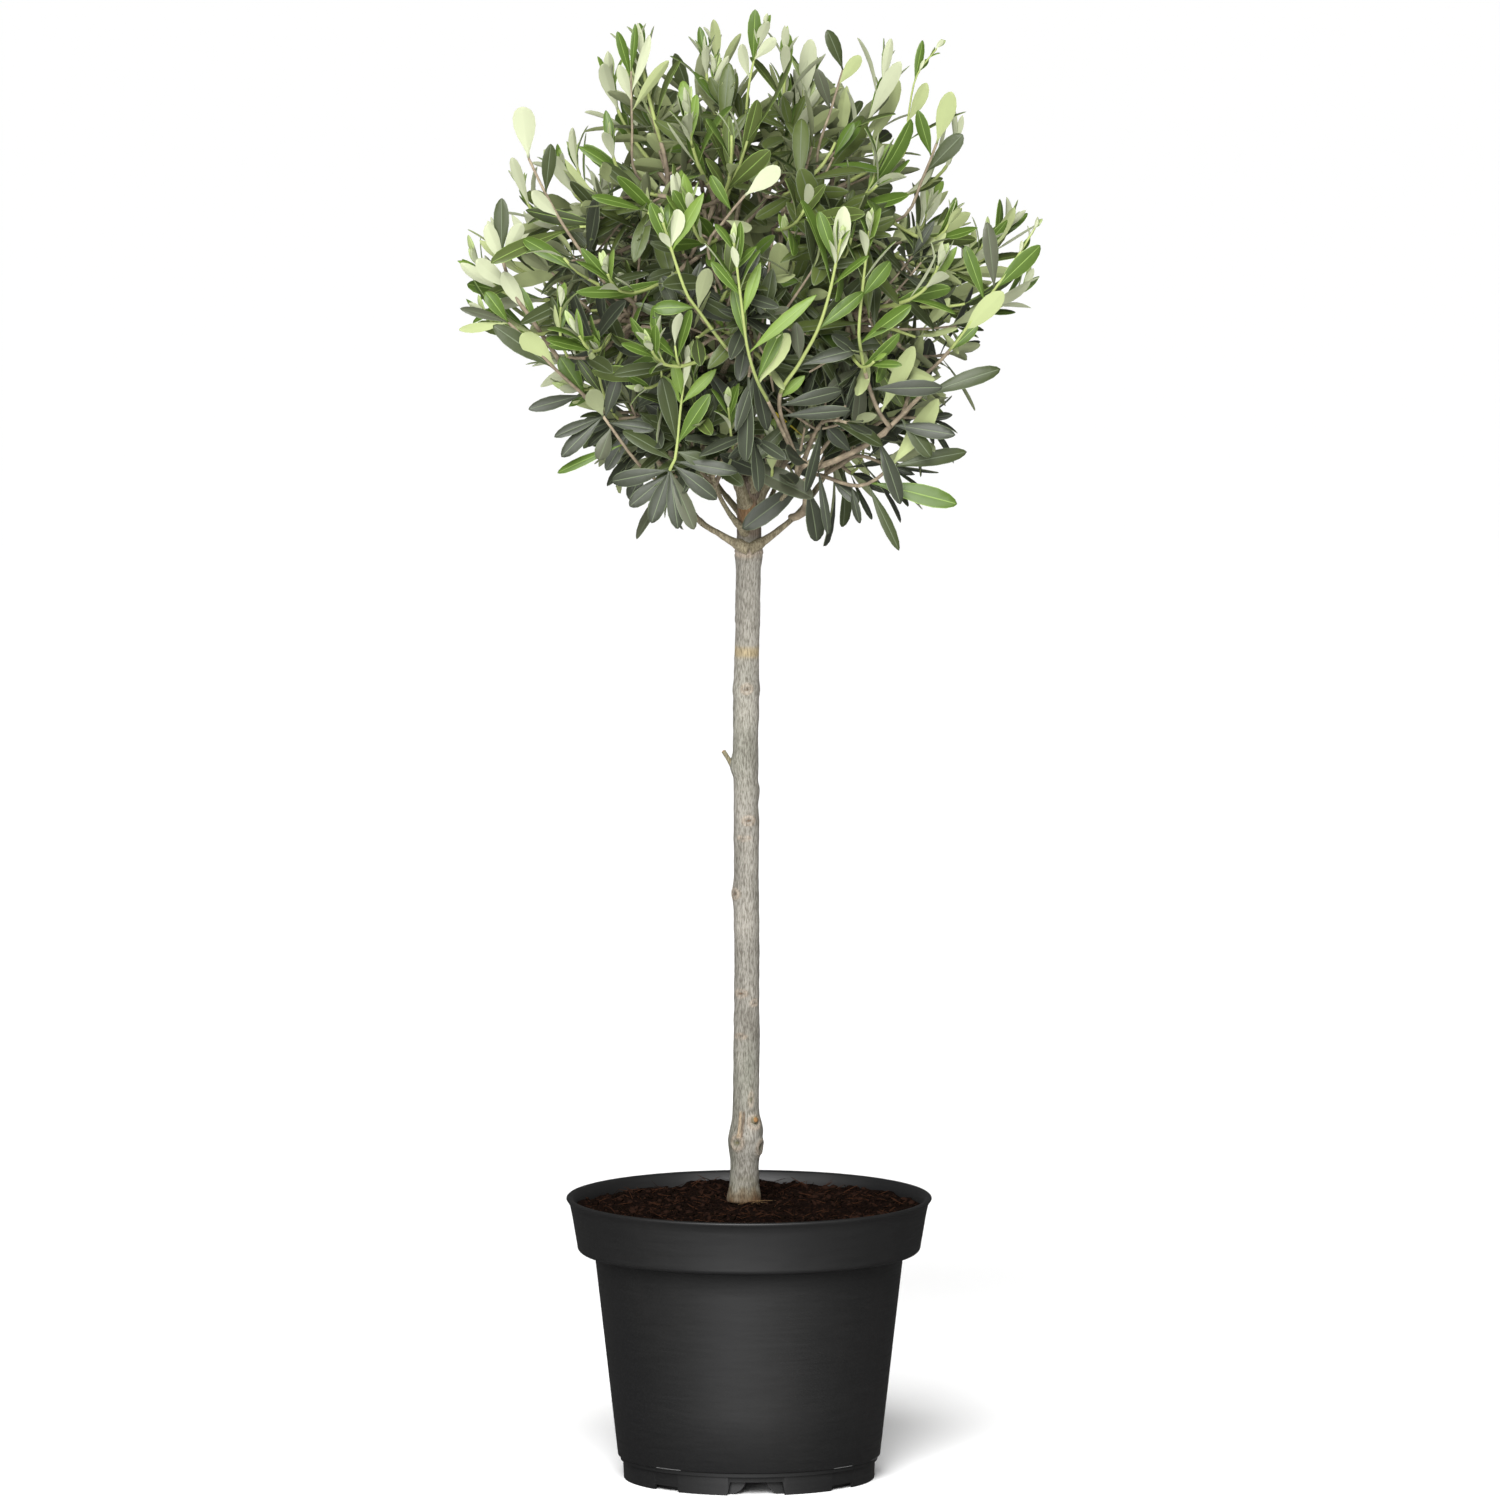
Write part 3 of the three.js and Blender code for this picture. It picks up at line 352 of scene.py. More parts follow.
def turned(first, second, angle):
    """The way at an angle in radians from the first of two square directions towards the second."""
    return first * cos(angle) + second * sin(angle)


def off_by(azimuth, middle):
    """The angle of an azimuth from another, from -180 to 180 degrees."""
    return (azimuth - middle + 180) % 360 - 180


def steep(way):
    """Up, or +X where a way itself is nearly upright."""
    return UP if abs(way[2]) < PARALLEL else np.array([1.0, 0, 0])


def seeded(seed):
    """Repeatable random numbers, from 0 to 1 or between two limits, by the solids' own rule."""
    state = (seed * 2654435761 + 12345) & 0xFFFFFFFF

    def draw(low=0, high=1):
        nonlocal state
        state = (state * 1664525 + 1013904223) & 0xFFFFFFFF
        return mix(low, high, state / 4294967296)

    return draw


def noise(points, size, seed):
    """Smooth random values from -1 to 1 at points, with grains of a size, which may differ by axis."""
    place = np.asarray(points) / np.asarray(size, float)
    cell = np.floor(place).astype(np.int64)
    share = place - cell
    share = share * share * (3 - 2 * share)

    def corner(offset):
        x, y, z = (cell[..., k] + offset[k] for k in range(3))
        mixed = (x * 73856093) ^ (y * 19349663) ^ (z * 83492791) ^ (seed * 40503)
        mixed = ((mixed ^ (mixed >> 13)) * 1274126177) & 0xFFFFFFFF
        return ((mixed ^ (mixed >> 16)) & 0xFFFF) / 32767.5 - 1

    total = 0
    for offset in np.ndindex(2, 2, 2):
        weight = np.prod(np.where(np.array(offset), share, 1 - share), axis=-1)
        total = total + weight * corner(offset)
    return total


def bezier(points, steps):
    """Points along the curve of any degree that the control points give."""
    t = np.linspace(0, 1, steps + 1)[:, None]
    level = [np.asarray(p, float)[None, :] for p in points]
    while len(level) > 1:
        level = [a * (1 - t) + b * t for a, b in zip(level, level[1:])]
    return level[0]


class Path:
    """A smooth line through close points, read by the distance along it."""

    def __init__(self, points):
        self.points = np.asarray(points, float)
        steps = norm(np.diff(self.points, axis=0), axis=1)
        self.marks = np.concatenate([[0], np.cumsum(steps)])
        self.length = float(self.marks[-1])

    def at(self, distance):
        return np.stack([np.interp(distance, self.marks, self.points[:, k]) for k in range(3)], axis=-1)

    def until(self, distance):
        """The line up to a distance."""
        return Path([*self.points[self.marks < distance], self.at(distance)])

    def way(self, distance):
        low = np.clip(np.asarray(distance) - 1, 0, self.length)
        high = np.clip(np.asarray(distance) + 1, 0, self.length)
        step = self.at(high) - self.at(low)
        return step / norm(step, axis=-1, keepdims=True)

    def frames(self, places, side):
        """Centre, way and two square directions at each place. The first direction starts as side."""
        rows = []
        for centre, way in zip(self.at(places), self.way(places)):
            side = across(side, way)
            rows.append((centre, way, side, np.cross(way, side)))
        return rows


# Meshes

def placed(name, data):
    """A new object in the scene."""
    made = bpy.data.objects.new(name, data)
    bpy.context.scene.collection.objects.link(made)
    return made


def make_object(name, vertices, faces, materials, looks=None):
    """A smooth mesh in metres from millimetres. Faces are lists of corners, and looks their materials."""
    data = bpy.data.meshes.new(name)
    data.from_pydata((np.asarray(vertices, float) * MM).tolist(), [], faces)
    for material in materials:
        data.materials.append(material)
    if looks is not None:
        data.polygons.foreach_set("material_index", np.asarray(looks, np.int32))
    data.polygons.foreach_set("use_smooth", np.full(len(data.polygons), True))
    data.validate()
    data.update()
    return placed(name, data)


def skin(rows, columns):
    """Quads between rows of a grid of corners whose columns close round."""
    faces = []
    for i in range(rows - 1):
        for k in range(columns):
            a, b = i * columns + k, i * columns + (k + 1) % columns
            faces.append((a, b, b + columns, a + columns))
    return faces


class Bundle:
    """Many small closed shapes that are joined into one piece."""

    def __init__(self):
        self.vertices, self.faces, self.looks, self.count = [], [], [], 0

    def add(self, vertices, faces, look=0):
        self.vertices.append(np.asarray(vertices, float))
        self.faces.extend([tuple(self.count + i for i in face) for face in faces])
        self.looks.extend([look] * len(faces))
        self.count += len(vertices)

    def make(self, name, materials):
        return make_object(name, np.concatenate(self.vertices), self.faces, materials, self.looks)


def tube(path, places, radii, sides):
    """Corners and faces of a closed tube along a path."""
    turns = np.arange(sides) * 2 * pi / sides
    rows = []
    for (centre, _, right, ahead), radius in zip(path.frames(places, steep(path.way(places[0]))), radii):
        rows.append(centre + radius * (np.cos(turns)[:, None] * right + np.sin(turns)[:, None] * ahead))
    faces = skin(len(rows), sides)
    faces.append(tuple(reversed(range(sides))))
    faces.append(tuple((len(rows) - 1) * sides + k for k in range(sides)))
    return np.concatenate(rows), faces


# Materials

def linear(colour):
    """A display colour from 0 to 255 as the linear one that a shader takes."""
    shares = np.asarray(colour, float) / 255
    return np.where(shares <= 0.04045, shares / 12.92, ((shares + 0.055) / 1.055) ** 2.4).tolist()


def plain(name, colour, roughness, specular):
    """A material of one plain colour."""
    made = bpy.data.materials.new(name)
    made.use_nodes = True
    inputs = made.node_tree.nodes["Principled BSDF"].inputs
    inputs["Base Color"].default_value = (*linear(colour), 1)
    inputs["Roughness"].default_value = roughness
    inputs["Specular IOR Level"].default_value = specular
    return made


def link(material, source, target):
    material.node_tree.links.new(source, target)


def drive(material, source, name):
    """Lets a source set one of the shader's inputs."""
    link(material, source, material.node_tree.nodes["Principled BSDF"].inputs[name])


def add_node(material, kind, **values):
    """A shader node with its inputs or settings."""
    made = material.node_tree.nodes.new(kind)
    for key, value in values.items():
        if key in made.inputs:
            made.inputs[key].default_value = value
        else:
            setattr(made, key, value)
    return made


def grain(material, scale, detail, stretch=(1, 1, 1)):
    """Noise over the piece's own place, stretched by axis."""
    place = add_node(material, "ShaderNodeTexCoord")
    stretched = add_node(material, "ShaderNodeMapping", Scale=stretch)
    made = add_node(material, "ShaderNodeTexNoise", Scale=scale, Detail=detail, Roughness=0.6)
    link(material, place.outputs["Object"], stretched.inputs["Vector"])
    link(material, stretched.outputs["Vector"], made.inputs["Vector"])
    return made.outputs["Fac"]


def ramp(material, factor, stops):
    """A colour ramp with stops of place and display colour."""
    made = add_node(material, "ShaderNodeValToRGB")
    elements = made.color_ramp.elements
    while len(elements) < len(stops):
        elements.new(0.5)
    for element, (place, colour) in zip(elements, stops):
        element.position = place
        element.color = (*linear(colour), 1)
    link(material, factor, made.inputs["Fac"])
    return made.outputs["Color"]


def spread(material, factor, low, high):
    """A grain's values brought to the range from low to high."""
    limits = {"From Min": 0.3, "From Max": 0.7, "To Min": low, "To Max": high}
    made = add_node(material, "ShaderNodeMapRange", **limits)
    link(material, factor, made.inputs["Value"])
    return made.outputs["Result"]


def grained(name, colour, roughness, specular, relief, tint=None):
    """A material with relief, which is a grain with its strength and depth, and a tint by another grain."""
    made = plain(name, colour, roughness, specular)
    fine, strength, depth = relief
    bump = add_node(made, "ShaderNodeBump", Strength=strength, Distance=depth)
    link(made, grain(made, *fine), bump.inputs["Height"])
    drive(made, bump.outputs["Normal"], "Normal")
    if tint:
        cloud, stops = tint
        drive(made, ramp(made, grain(made, *cloud), stops), "Base Color")
    return made


def pot_plastic():
    """Black moulded plastic with a satin face, faint turning marks and scuffs."""
    tint = (14, 4, (1, 1, 0.35)), [(0.3, (15, 15, 16)), (0.55, (17, 17, 17)), (0.75, (21, 20, 20))]
    made = grained("pot_plastic", (17, 17, 17), 0.42, 0.42, ((900, 2, (1, 1, 1.5)), 0.12, 0.0002), tint)
    drive(made, spread(made, grain(made, 260, 2, (0.12, 0.12, 1.6)), 0.46, 0.56), "Roughness")
    return made


def compost_soil():
    """Dark moist peat with a reddish cast."""
    tint = (420, 5), [(0.34, (7, 3, 2)), (0.54, (17, 9, 6)), (0.72, (40, 23, 14))]
    return grained("compost_soil", (15, 8, 5), 0.95, 0.03, ((900, 4), 0.9, 0.0012), tint)


def bark():
    """Light grey-beige bark, whose tint is worked out with its relief."""
    fissures = (1100, 3, (1, 1, 0.2))
    made = grained("bark", (175, 169, 157), 0.8, 0.25, (fissures, 0.7, 0.0005))
    tint = add_node(made, "ShaderNodeVertexColor", layer_name="tint")
    fine = ramp(made, grain(made, *fissures), [(0.36, (176, 172, 166)), (0.6, (255, 255, 255))])
    both = add_node(made, "ShaderNodeMix", data_type="RGBA", blend_type="MULTIPLY")
    both.inputs["Factor"].default_value = 1
    link(made, tint.outputs["Color"], both.inputs["A"])
    link(made, fine, both.inputs["B"])
    drive(made, both.outputs["Result"], "Base Color")
    return made


def twig_bark():
    """Grey-brown bark of the twigs."""
    tint = (120, 4), [(0.3, (102, 92, 78)), (0.52, (130, 118, 100)), (0.72, (160, 148, 124))]
    return grained("twig_bark", (128, 116, 98), 0.8, 0.15, ((1400, 3), 0.35, 0.0003), tint)


def blade_materials():
    """One plain colour for each kind of face of a leaf, the broad ones with a fine grain of veins."""
    made = []
    for kind, (colours, roughness, specular, veins) in FACES.items():
        for name, colour in colours.items():
            looks = kind + name, colour, roughness, specular
            made.append(grained(*looks, ((520, 2), veins, 0.0004)) if veins else plain(*looks))
    return made


# The head's outline and tips

def smooth(table, x):
    """A value between those of a table, eased from row to row."""
    i = 0
    while i + 2 < len(table) and x > table[i + 1][0]:
        i += 1
    (x0, y0), (x1, y1) = table[i], table[i + 1]
    t = clamp((x - x0) / (x1 - x0))
    return mix(y0, y1, t * t * (3 - 2 * t))


def elevation_of(direction):
    """A direction's elevation in degrees."""
    return degrees(asin(clamp(direction[2], -1.0)))


def reach(direction):
    """How far the outermost leaves reach from the head's middle in a direction."""
    return smooth(REACH, elevation_of(direction)) + stands_out(direction)


def stands_out(direction):
    """How far the lobes carry the head's outline out in a direction."""
    out = 0.0
    for azimuth, elevation, stands, wide in LOBES:
        lobe = along(radians(azimuth), radians(elevation))
        angle = degrees(acos(clamp(float(np.dot(direction, lobe)), -1.0)))
        out += stands * exp(-((angle / wide) ** 2))
    return out


def notch(direction):
    """How far the twigs end short of the head's outline in a direction."""
    depth = 0.0
    turn = degrees(atan2(direction[1], direction[0]))
    for azimuth, elevation, deep, wide, tall in NOTCHES:
        aside, over = off_by(turn, azimuth) / wide, (elevation_of(direction) - elevation) / tall
        depth = max(depth, deep * exp(-(aside**2) - over**2))
    return depth


def head_tips():
    """Even points over the head, from the top down, leaving the clear stem free."""
    tips = []
    for count, share in ((HEAD.tips, 1), (HEAD.inner_tips, HEAD.inner_reach)):
        for k in range(count):
            elevation = asin(1 - 2 * (k + 0.5) / count)
            if degrees(elevation) < HEAD.clear_stem:
                continue
            seed = len(tips) + 1
            draw = seeded(SEEDS.tips + seed)
            direction = along(k * GOLDEN + HEAD.turn * (draw() - 0.5), elevation)
            distance = (reach(direction) - HEAD.ragged * draw()) * share
            place = direction * distance + UP * HEAD.middle
            low = direction[2] < HEAD.low or share < 1
            tips.append({"place": place, "direction": direction, "low": low, "seed": seed})
    return tips


# Boughs

def trunk_centre(height):
    """The middle of the trunk at a height, with its lean and sway."""
    share = min(1.0, (height - TRUNK.start) / (TRUNK.fork - TRUNK.start))
    return np.array([TRUNK.lean * (1 - share) + TRUNK.sway * sin(2 * pi * share), 0, height])


def bough_plans():
    """The boughs with their curves and the hubs of their masses."""
    plans = []
    for tier in TIERS:
        for i in range(tier["count"]):
            draw = seeded(SEEDS.boughs + len(plans))
            turn = tier["turn"] + 360 * i / tier["count"] + BOUGH.turn * (draw() - 0.5)
            azimuth = radians(turn)
            lift = BOUGH.lift * (draw() - 0.5)
            hub, end = (
                np.array([radius * cos(azimuth), radius * sin(azimuth), height + lift])
                for radius, height in (tier["hub"], tier["end"])
            )
            name = tier["name"] + ("_%d" % (i + 1) if tier["count"] > 1 else "")
            half = "" if tier["count"] == 1 else "_front" if sin(azimuth) < 0 else "_back"
            plan = {"tier": tier, "i": i, "azimuth": azimuth, "hub": hub, "end": end, "name": name}
            plans.append({**plan, "sprays": tier["name"] + half})
    main = [p for p in plans if p["tier"]["name"] == "upper"]
    for plan in plans:
        if plan["tier"]["name"] != "side":
            plan["curve"] = bough_curve(trunk_centre(spring_height(plan)), plan)
    for plan in plans:
        if plan["tier"]["name"] == "side":
            first, last = plan["tier"]["from"]
            carrier = main[plan["i"]]["curve"]
            share = first if plan["i"] % 2 else last
            plan["curve"] = bough_curve(carrier[int(round(share * (len(carrier) - 1)))], plan)
    for plan in plans:
        plan["share"] = bough_share(plan, plans)
        plan["seen"] = brought_forward(plan) if plan["name"] in CROTCH.lower else plan["curve"]
    return plans


def brought_forward(plan):
    """A bough's curve that starts on the trunk's front, sags a little and comes back to its own line."""
    share = np.linspace(0, 1, len(plan["curve"]))[:, None]
    forward = CROTCH.forward * np.clip(1 - share / CROTCH.over, 0, 1) ** CROTCH.ease
    sag = CROTCH.lower[plan["name"]] * np.interp(share, *zip(*CROTCH.sag))
    return plan["curve"] - np.array([[0, 1.0, 0]]) * forward - UP * sag


def spring_height(plan):
    """How high a bough leaves the trunk."""
    low, high = plan["tier"]["from"]
    if plan["tier"]["name"] == "skirt":
        return mix(low, high, (plan["i"] % 3) / 2)
    return high if plan["i"] % 2 else low


def bough_curve(start, plan):
    """A bough's line, which springs out and arrives steeply at its end."""
    span = norm(plan["end"] - start)
    out = start + along(plan["azimuth"], radians(plan["tier"]["rise"])) * span * BOUGH.springing
    back = along(plan["azimuth"], radians(BOUGH.arrival)) * span * BOUGH.arriving
    return bezier([start, out, plan["end"] - back, plan["end"]], 200)


def in_space(point, plan, plans):
    """Whether a point is nearer to a mass's own hub than to any other."""
    for other in plans:
        if other is plan:
            continue
        line = other["hub"] - plan["hub"]
        middle = (plan["hub"] + other["hub"]) / 2
        if np.dot(point - middle, line) / norm(line) >= -MARGIN:
            return False
    return True


def bough_share(plan, plans):
    """The share of its curve where a bough becomes the stem of its mass."""
    share = BOUGH.most
    curve = plan["curve"]
    point = lambda s: curve[int(round(s * (len(curve) - 1)))]
    while share > BOUGH.least and in_space(point(share - 2 * BOUGH.step), plan, plans):
        share -= BOUGH.step
    return share


# Shoots and their leaves

def node_turn(node):
    """Each node bears an opposite pair, a quarter turned from the pair before."""
    return (node % 2 + 0.5) * pi / 2


def facing(row, turn):
    """A direction square to a path at one of its rows."""
    return turned(*row[2:], turn)


def grow_twigs(plan, tips):
    """Main twigs on a mass's stem. From the stem's end back, each takes the tip that suits it best."""
    curve = plan["curve"]
    first = int(round(plan["share"] * (len(curve) - 1)))
    path = Path(curve[first:])
    nodes = max(1, ceil(len(tips) / 2))
    spacing = (path.length - STEM.bare) / nodes
    places = [path.length - j * spacing for j in range(nodes - 1, -1, -1)]
    rows = path.frames([0, *places], steep(path.way(0)))[1:]
    left = list(tips)
    twigs = []
    for node in range(nodes - 1, -1, -1):
        centre, way = rows[node][:2]
        for half in (0, 1):
            if not left:
                break
            outwards = facing(rows[node], node_turn(node) + half * pi)
            heading = unit(outwards * TWIG.outwards + way)
            left.sort(key=lambda tip: -np.dot(unit(tip["place"] - centre), heading))
            tip = left.pop(0)
            twigs.append(twig_path(centre, heading, outwards, tip))
    return twigs


def twig_path(start, heading, side, tip):
    """A main twig, which bends to its tip: upright high in the head, spreading low down."""
    direction = tip["direction"]
    span = norm(tip["place"] - start)
    lift = clamp(direction[2] - TWIG.level, -TWIG.droop)
    bend = start + heading * span * TWIG.start - UP * TWIG.bow * span * lift
    rise = TWIG.low_rise
    if not tip["low"]:
        least, more = TWIG.climbing
        climb = clamp((tip["place"][2] - start[2]) / span + more, least)
        rise = TWIG.rise * max(0.0, direction[2] - TWIG.upright) * climb
    last = unit(direction + UP * rise)
    near_end, far_end = LEAF.ahead["low" if tip["low"] else "high"]
    recess = seeded(SEEDS.ends + tip["seed"])() * (1 - clamp(stands_out(direction) / TWIG.lobe))
    ahead = min((1 - TWIG.least) * span, mix(near_end, far_end, recess) + notch(direction))
    end = tip["place"] - last * ahead
    path = Path(bezier([start, bend, end - last * span * TWIG.arriving, end], 40))
    return {"path": path, "side": side, "tip": tip, "base": TWIG.base, "end": TWIG.tip, "order": 0}


def habit_of(shoot):
    """How leaves stand on a shoot: as on an old twig low in the head, or as on a growing one."""
    return OLD if shoot["low"] else GROWING


def nodes_of(length, habit, bare):
    """Distances of a shoot's nodes from its root, from the tip back."""
    places = []
    place = length - 1.0
    while place > bare:
        places.append(place)
        place -= habit.spacing[min(len(places) - 1, 3)]
    return places


def grow_leaves(shoot, leaves, draw):
    """Pairs of leaves on a shoot. Gives the side shoots in the axils of its older pairs."""
    habit = habit_of(shoot)
    path = shoot["path"]
    places = nodes_of(path.length, habit, SIDE_SHOOT.bare if shoot["order"] else LEAF.bare)
    shoot["nodes"] = places
    borne = shoot["borne"] = []
    sides = []
    rows = path.frames(places, shoot["side"]) if places else []
    for node, (place, row) in enumerate(zip(places, rows)):
        centre, way = row[:2]
        age = min(node, 3)
        for half in (0, 1):
            outwards = facing(row, node_turn(node) + half * pi + radians(draw(-14, 14)))
            chance = draw()
            inner = place < habit.inner * path.length
            share = habit.inner_share if inner else habit.side_share
            if shoot["order"] == 0 and node >= SIDE_SHOOT.first_node and chance < share:
                room = path.length - place
                side = side_shoot({**shoot, "low": shoot["low"] or inner}, centre, way, outwards, room, draw)
                if side:
                    sides.append(side)
                    borne.append((place, side))
            past = path.length - place > habit.leafy * path.length + DROPPED.past
            if past or (node > DROPPED.node and draw() < DROPPED.share):
                continue
            opening = radians(habit.opening[age] + draw(-4, 11))
            hanging = max(0.0, HANGING.below - shoot["tip"]["direction"][2]) * HANGING.share
            droop = UP * (draw(*habit.droop) + hanging)
            heading = unit(turned(way, outwards, opening) - droop)
            size = habit.size[age] * shoot["vigour"] * draw(0.8, 1.16)
            leaf = place_leaf(centre, heading, way, size, shoot, age, draw)
            if not hides_fork(leaf) or draw() < FORK.share:
                leaves.append(leaf)
                borne.append((place, leaf))
    row = path.frames([path.length], shoot["side"])[0]
    centre, way = row[:2]
    for half in (0, 1):
        outwards = facing(row, pi * half + radians(draw(20, 70)))
        heading = unit(way + outwards * draw(0.12, 0.26))
        leaves.append(place_leaf(centre, heading, way, draw(*habit.end_size), shoot, 0, draw))
        borne.append((path.length, leaves[-1]))
    return sides


def hides_fork(leaf):
    """Whether a leaf hangs into the space before and round the trunk's fork, which stays in view."""
    end = leaf["base"] + leaf["heading"] * leaf["length"]
    return abs(end[0]) < FORK.radius and end[1] < FORK.radius and end[2] < FORK.top


def within_reach(place, held_back):
    """Whether a place lies within the head, or a little deeper than its outline."""
    out = place - UP * HEAD.middle
    return norm(out) < reach(unit(out)) - notch(unit(out)) - held_back


def side_shoot(parent, start, way, outwards, room, draw):
    """A finer twig in a leaf's axil, kept within the head's outline."""
    habit = habit_of(parent)
    opening = radians(draw(*habit.side_opening))
    heading = unit(turned(way, outwards, opening))
    length = clamp(room * draw(*habit.side_length), SIDE_SHOOT.least, SIDE_SHOOT.most)
    risen = unit(heading + UP * habit.side_rise)
    held_back = draw(*SIDE_SHOOT.held_back)
    while length >= SIDE_SHOOT.least:
        end = start + risen * length
        if within_reach(end + risen * LEAF.ahead["low"][0], held_back):
            path = Path(bezier([start, start + heading * length * SIDE_SHOOT.start, end], 20))
            sizes = {"base": SIDE_SHOOT.base, "end": SIDE_SHOOT.tip, "vigour": parent["vigour"] * 0.94}
            return {**parent, **sizes, "path": path, "side": outwards, "order": 1}
        length *= 0.8
    return None


def sprig(parent, draw):
    """A young upright shoot on the end of an old twig."""
    path = parent["path"]
    start, way = path.at(path.length), path.way(path.length)
    aside = along(2 * pi * draw(), 0) * draw(0.05, 0.3)
    length = draw(*SPRIG.length)
    end = start + unit(UP + way * SPRIG.way + aside) * length
    if not within_reach(end + UP * LEAF.ahead["high"][0], 0):
        return None
    middle = start + unit(UP + way) * length * 0.4
    sizes = {"base": SPRIG.base, "end": SPRIG.tip, "vigour": 0.8, "low": False, "order": 1}
    return {**parent, **sizes, "path": Path(bezier([start, middle, end], 20)), "side": along(0.5, 0)}


def place_leaf(base, heading, way, size, shoot, age, draw):
    """One leaf, whose upper face is turned to the shoot's tip and partly to the light."""
    habit = habit_of(shoot)
    to_tip = across(way, heading)
    sky = unit(UP * 0.6 + shoot["tip"]["direction"] * (0.7, 0.7, 0.15))
    light = across(sky, heading) if abs(np.dot(sky, heading)) < PARALLEL else to_tip
    lit = habit.to_light + draw(-0.22, 0.22)
    roll = habit.roll * draw(-1, 1)
    face = to_tip * (1 - lit) + light * lit + np.cross(heading, to_tip) * roll
    if draw() < habit.long_share:
        size *= draw(1.15, 1.36)
    past = smooth(PAST, shoot["tip"]["direction"][2])
    while size > 0.2 and not within_reach(base + heading * LEAF.length * size, -past):
        size *= 0.92
    return {
        "sprays": shoot["sprays"],
        "base": base,
        "heading": heading,
        "face": across(face, heading),
        "length": LEAF.length * size,
        "width": LEAF.width * habit.wide * (0.16 + 0.84 * size) * draw(0.82, 1.16),
        "acute": clamp(1.3 - size + draw(-0.4, 0.5)),
        "curl": draw(*habit.curl) * (1 if draw() < 0.8 else -0.7),
        "fold": draw(0.06, 0.4),
        "twist": draw(-0.4, 0.4),
        "look": leaf_look(shoot, age, draw),
    }


def leaf_look(shoot, age, draw):
    """Upper face, underside and midrib, dealt out by the spray's tone and by the leaf's age, or on old twigs
    by lit and shaded looks, which are painted light and shade.
    """
    tone = clamp(shoot["tone"] + draw(-0.16, 0.16), 0.0, 0.99)
    if shoot["low"]:
        # Painted light and shade: old twigs pointing up get the lit looks, the others the shaded ones.
        kind = "lit" if shoot["tip"]["direction"][2] > LIGHTER_FROM else "shaded"
    else:
        kind = ("newest", "new", "new", "older")[age]
    tops, unders, rib = (words.split() for words in DEALT[kind])
    return named(*(looks[int(tone * len(looks))] for looks in (tops, unders)), *rib)


def named(top, under, rib):
    """The materials of a leaf's upper face, underside and midrib."""
    return "leaf_" + top, "under_" + under, "rib_" + rib


def is_low(tip, draw):
    """The solids' rule for old twigs, with both kinds mixed near its limit."""
    slope = tip["direction"][2]
    between = MIXED.low_to < slope < MIXED.high_to
    return tip["low"] != (between and draw() < MIXED.share)


def grow_head(plans, tips):
    """All twigs, side shoots and leaves of the head."""
    leaves, shoots = [], []
    for plan in plans:
        own = [t for t in tips if min(plans, key=lambda p: norm(p["hub"] - t["place"])) is plan]
        for twig in grow_twigs(plan, own):
            draw = seeded(SEEDS.leaves + twig["tip"]["seed"])
            height = (twig["tip"]["direction"][2] + 1) / 2
            twig["low"] = is_low(twig["tip"], draw)
            twig["sprays"] = plan["sprays"]
            twig["vigour"] = draw(0.88, 1.16)
            twig["tone"] = mix(draw(), height, 0.35)
            finer = grow_leaves(twig, leaves, draw)
            if twig["low"] and draw() < SPRIG.share:
                young = sprig(twig, draw)
                if young:
                    finer.append(young)
                    twig["borne"].append((twig["path"].length, young))
            for side in finer:
                grow_leaves(side, leaves, draw)
            shoots.extend([twig, *finer])
    shown_leaves, shown_shoots, lines = grow_shown(plans)
    starts, ends = (np.array([line[side] for line in lines]) for side in (0, 1))
    for leaf in leaves:
        leaf["gone"] = covers(leaf, starts, ends)
    shoots = cut_back(shoots) + shown_shoots
    leaves = [leaf for leaf in leaves if not leaf["gone"]] + shown_leaves
    oldest = min(leaves, key=lambda leaf: norm(leaf["base"] - OLD_LEAF))
    oldest["look"] = ("leaf_yellow", "leaf_yellow", "rib_bright")
    return leaves, shoots


def cut_back(shoots):
    """The shoots that bear anything yet, each as far as its last leaf. Side shoots come after parents."""
    left = []
    for shoot in reversed(shoots):
        out = max((place for place, borne in shoot["borne"] if not borne.get("gone")), default=0)
        shoot["gone"] = out == 0
        if out:
            shoot["path"] = shoot["path"].until(out)
            shoot["nodes"] = [node for node in shoot["nodes"] if node < out]
            left.append(shoot)
    return left


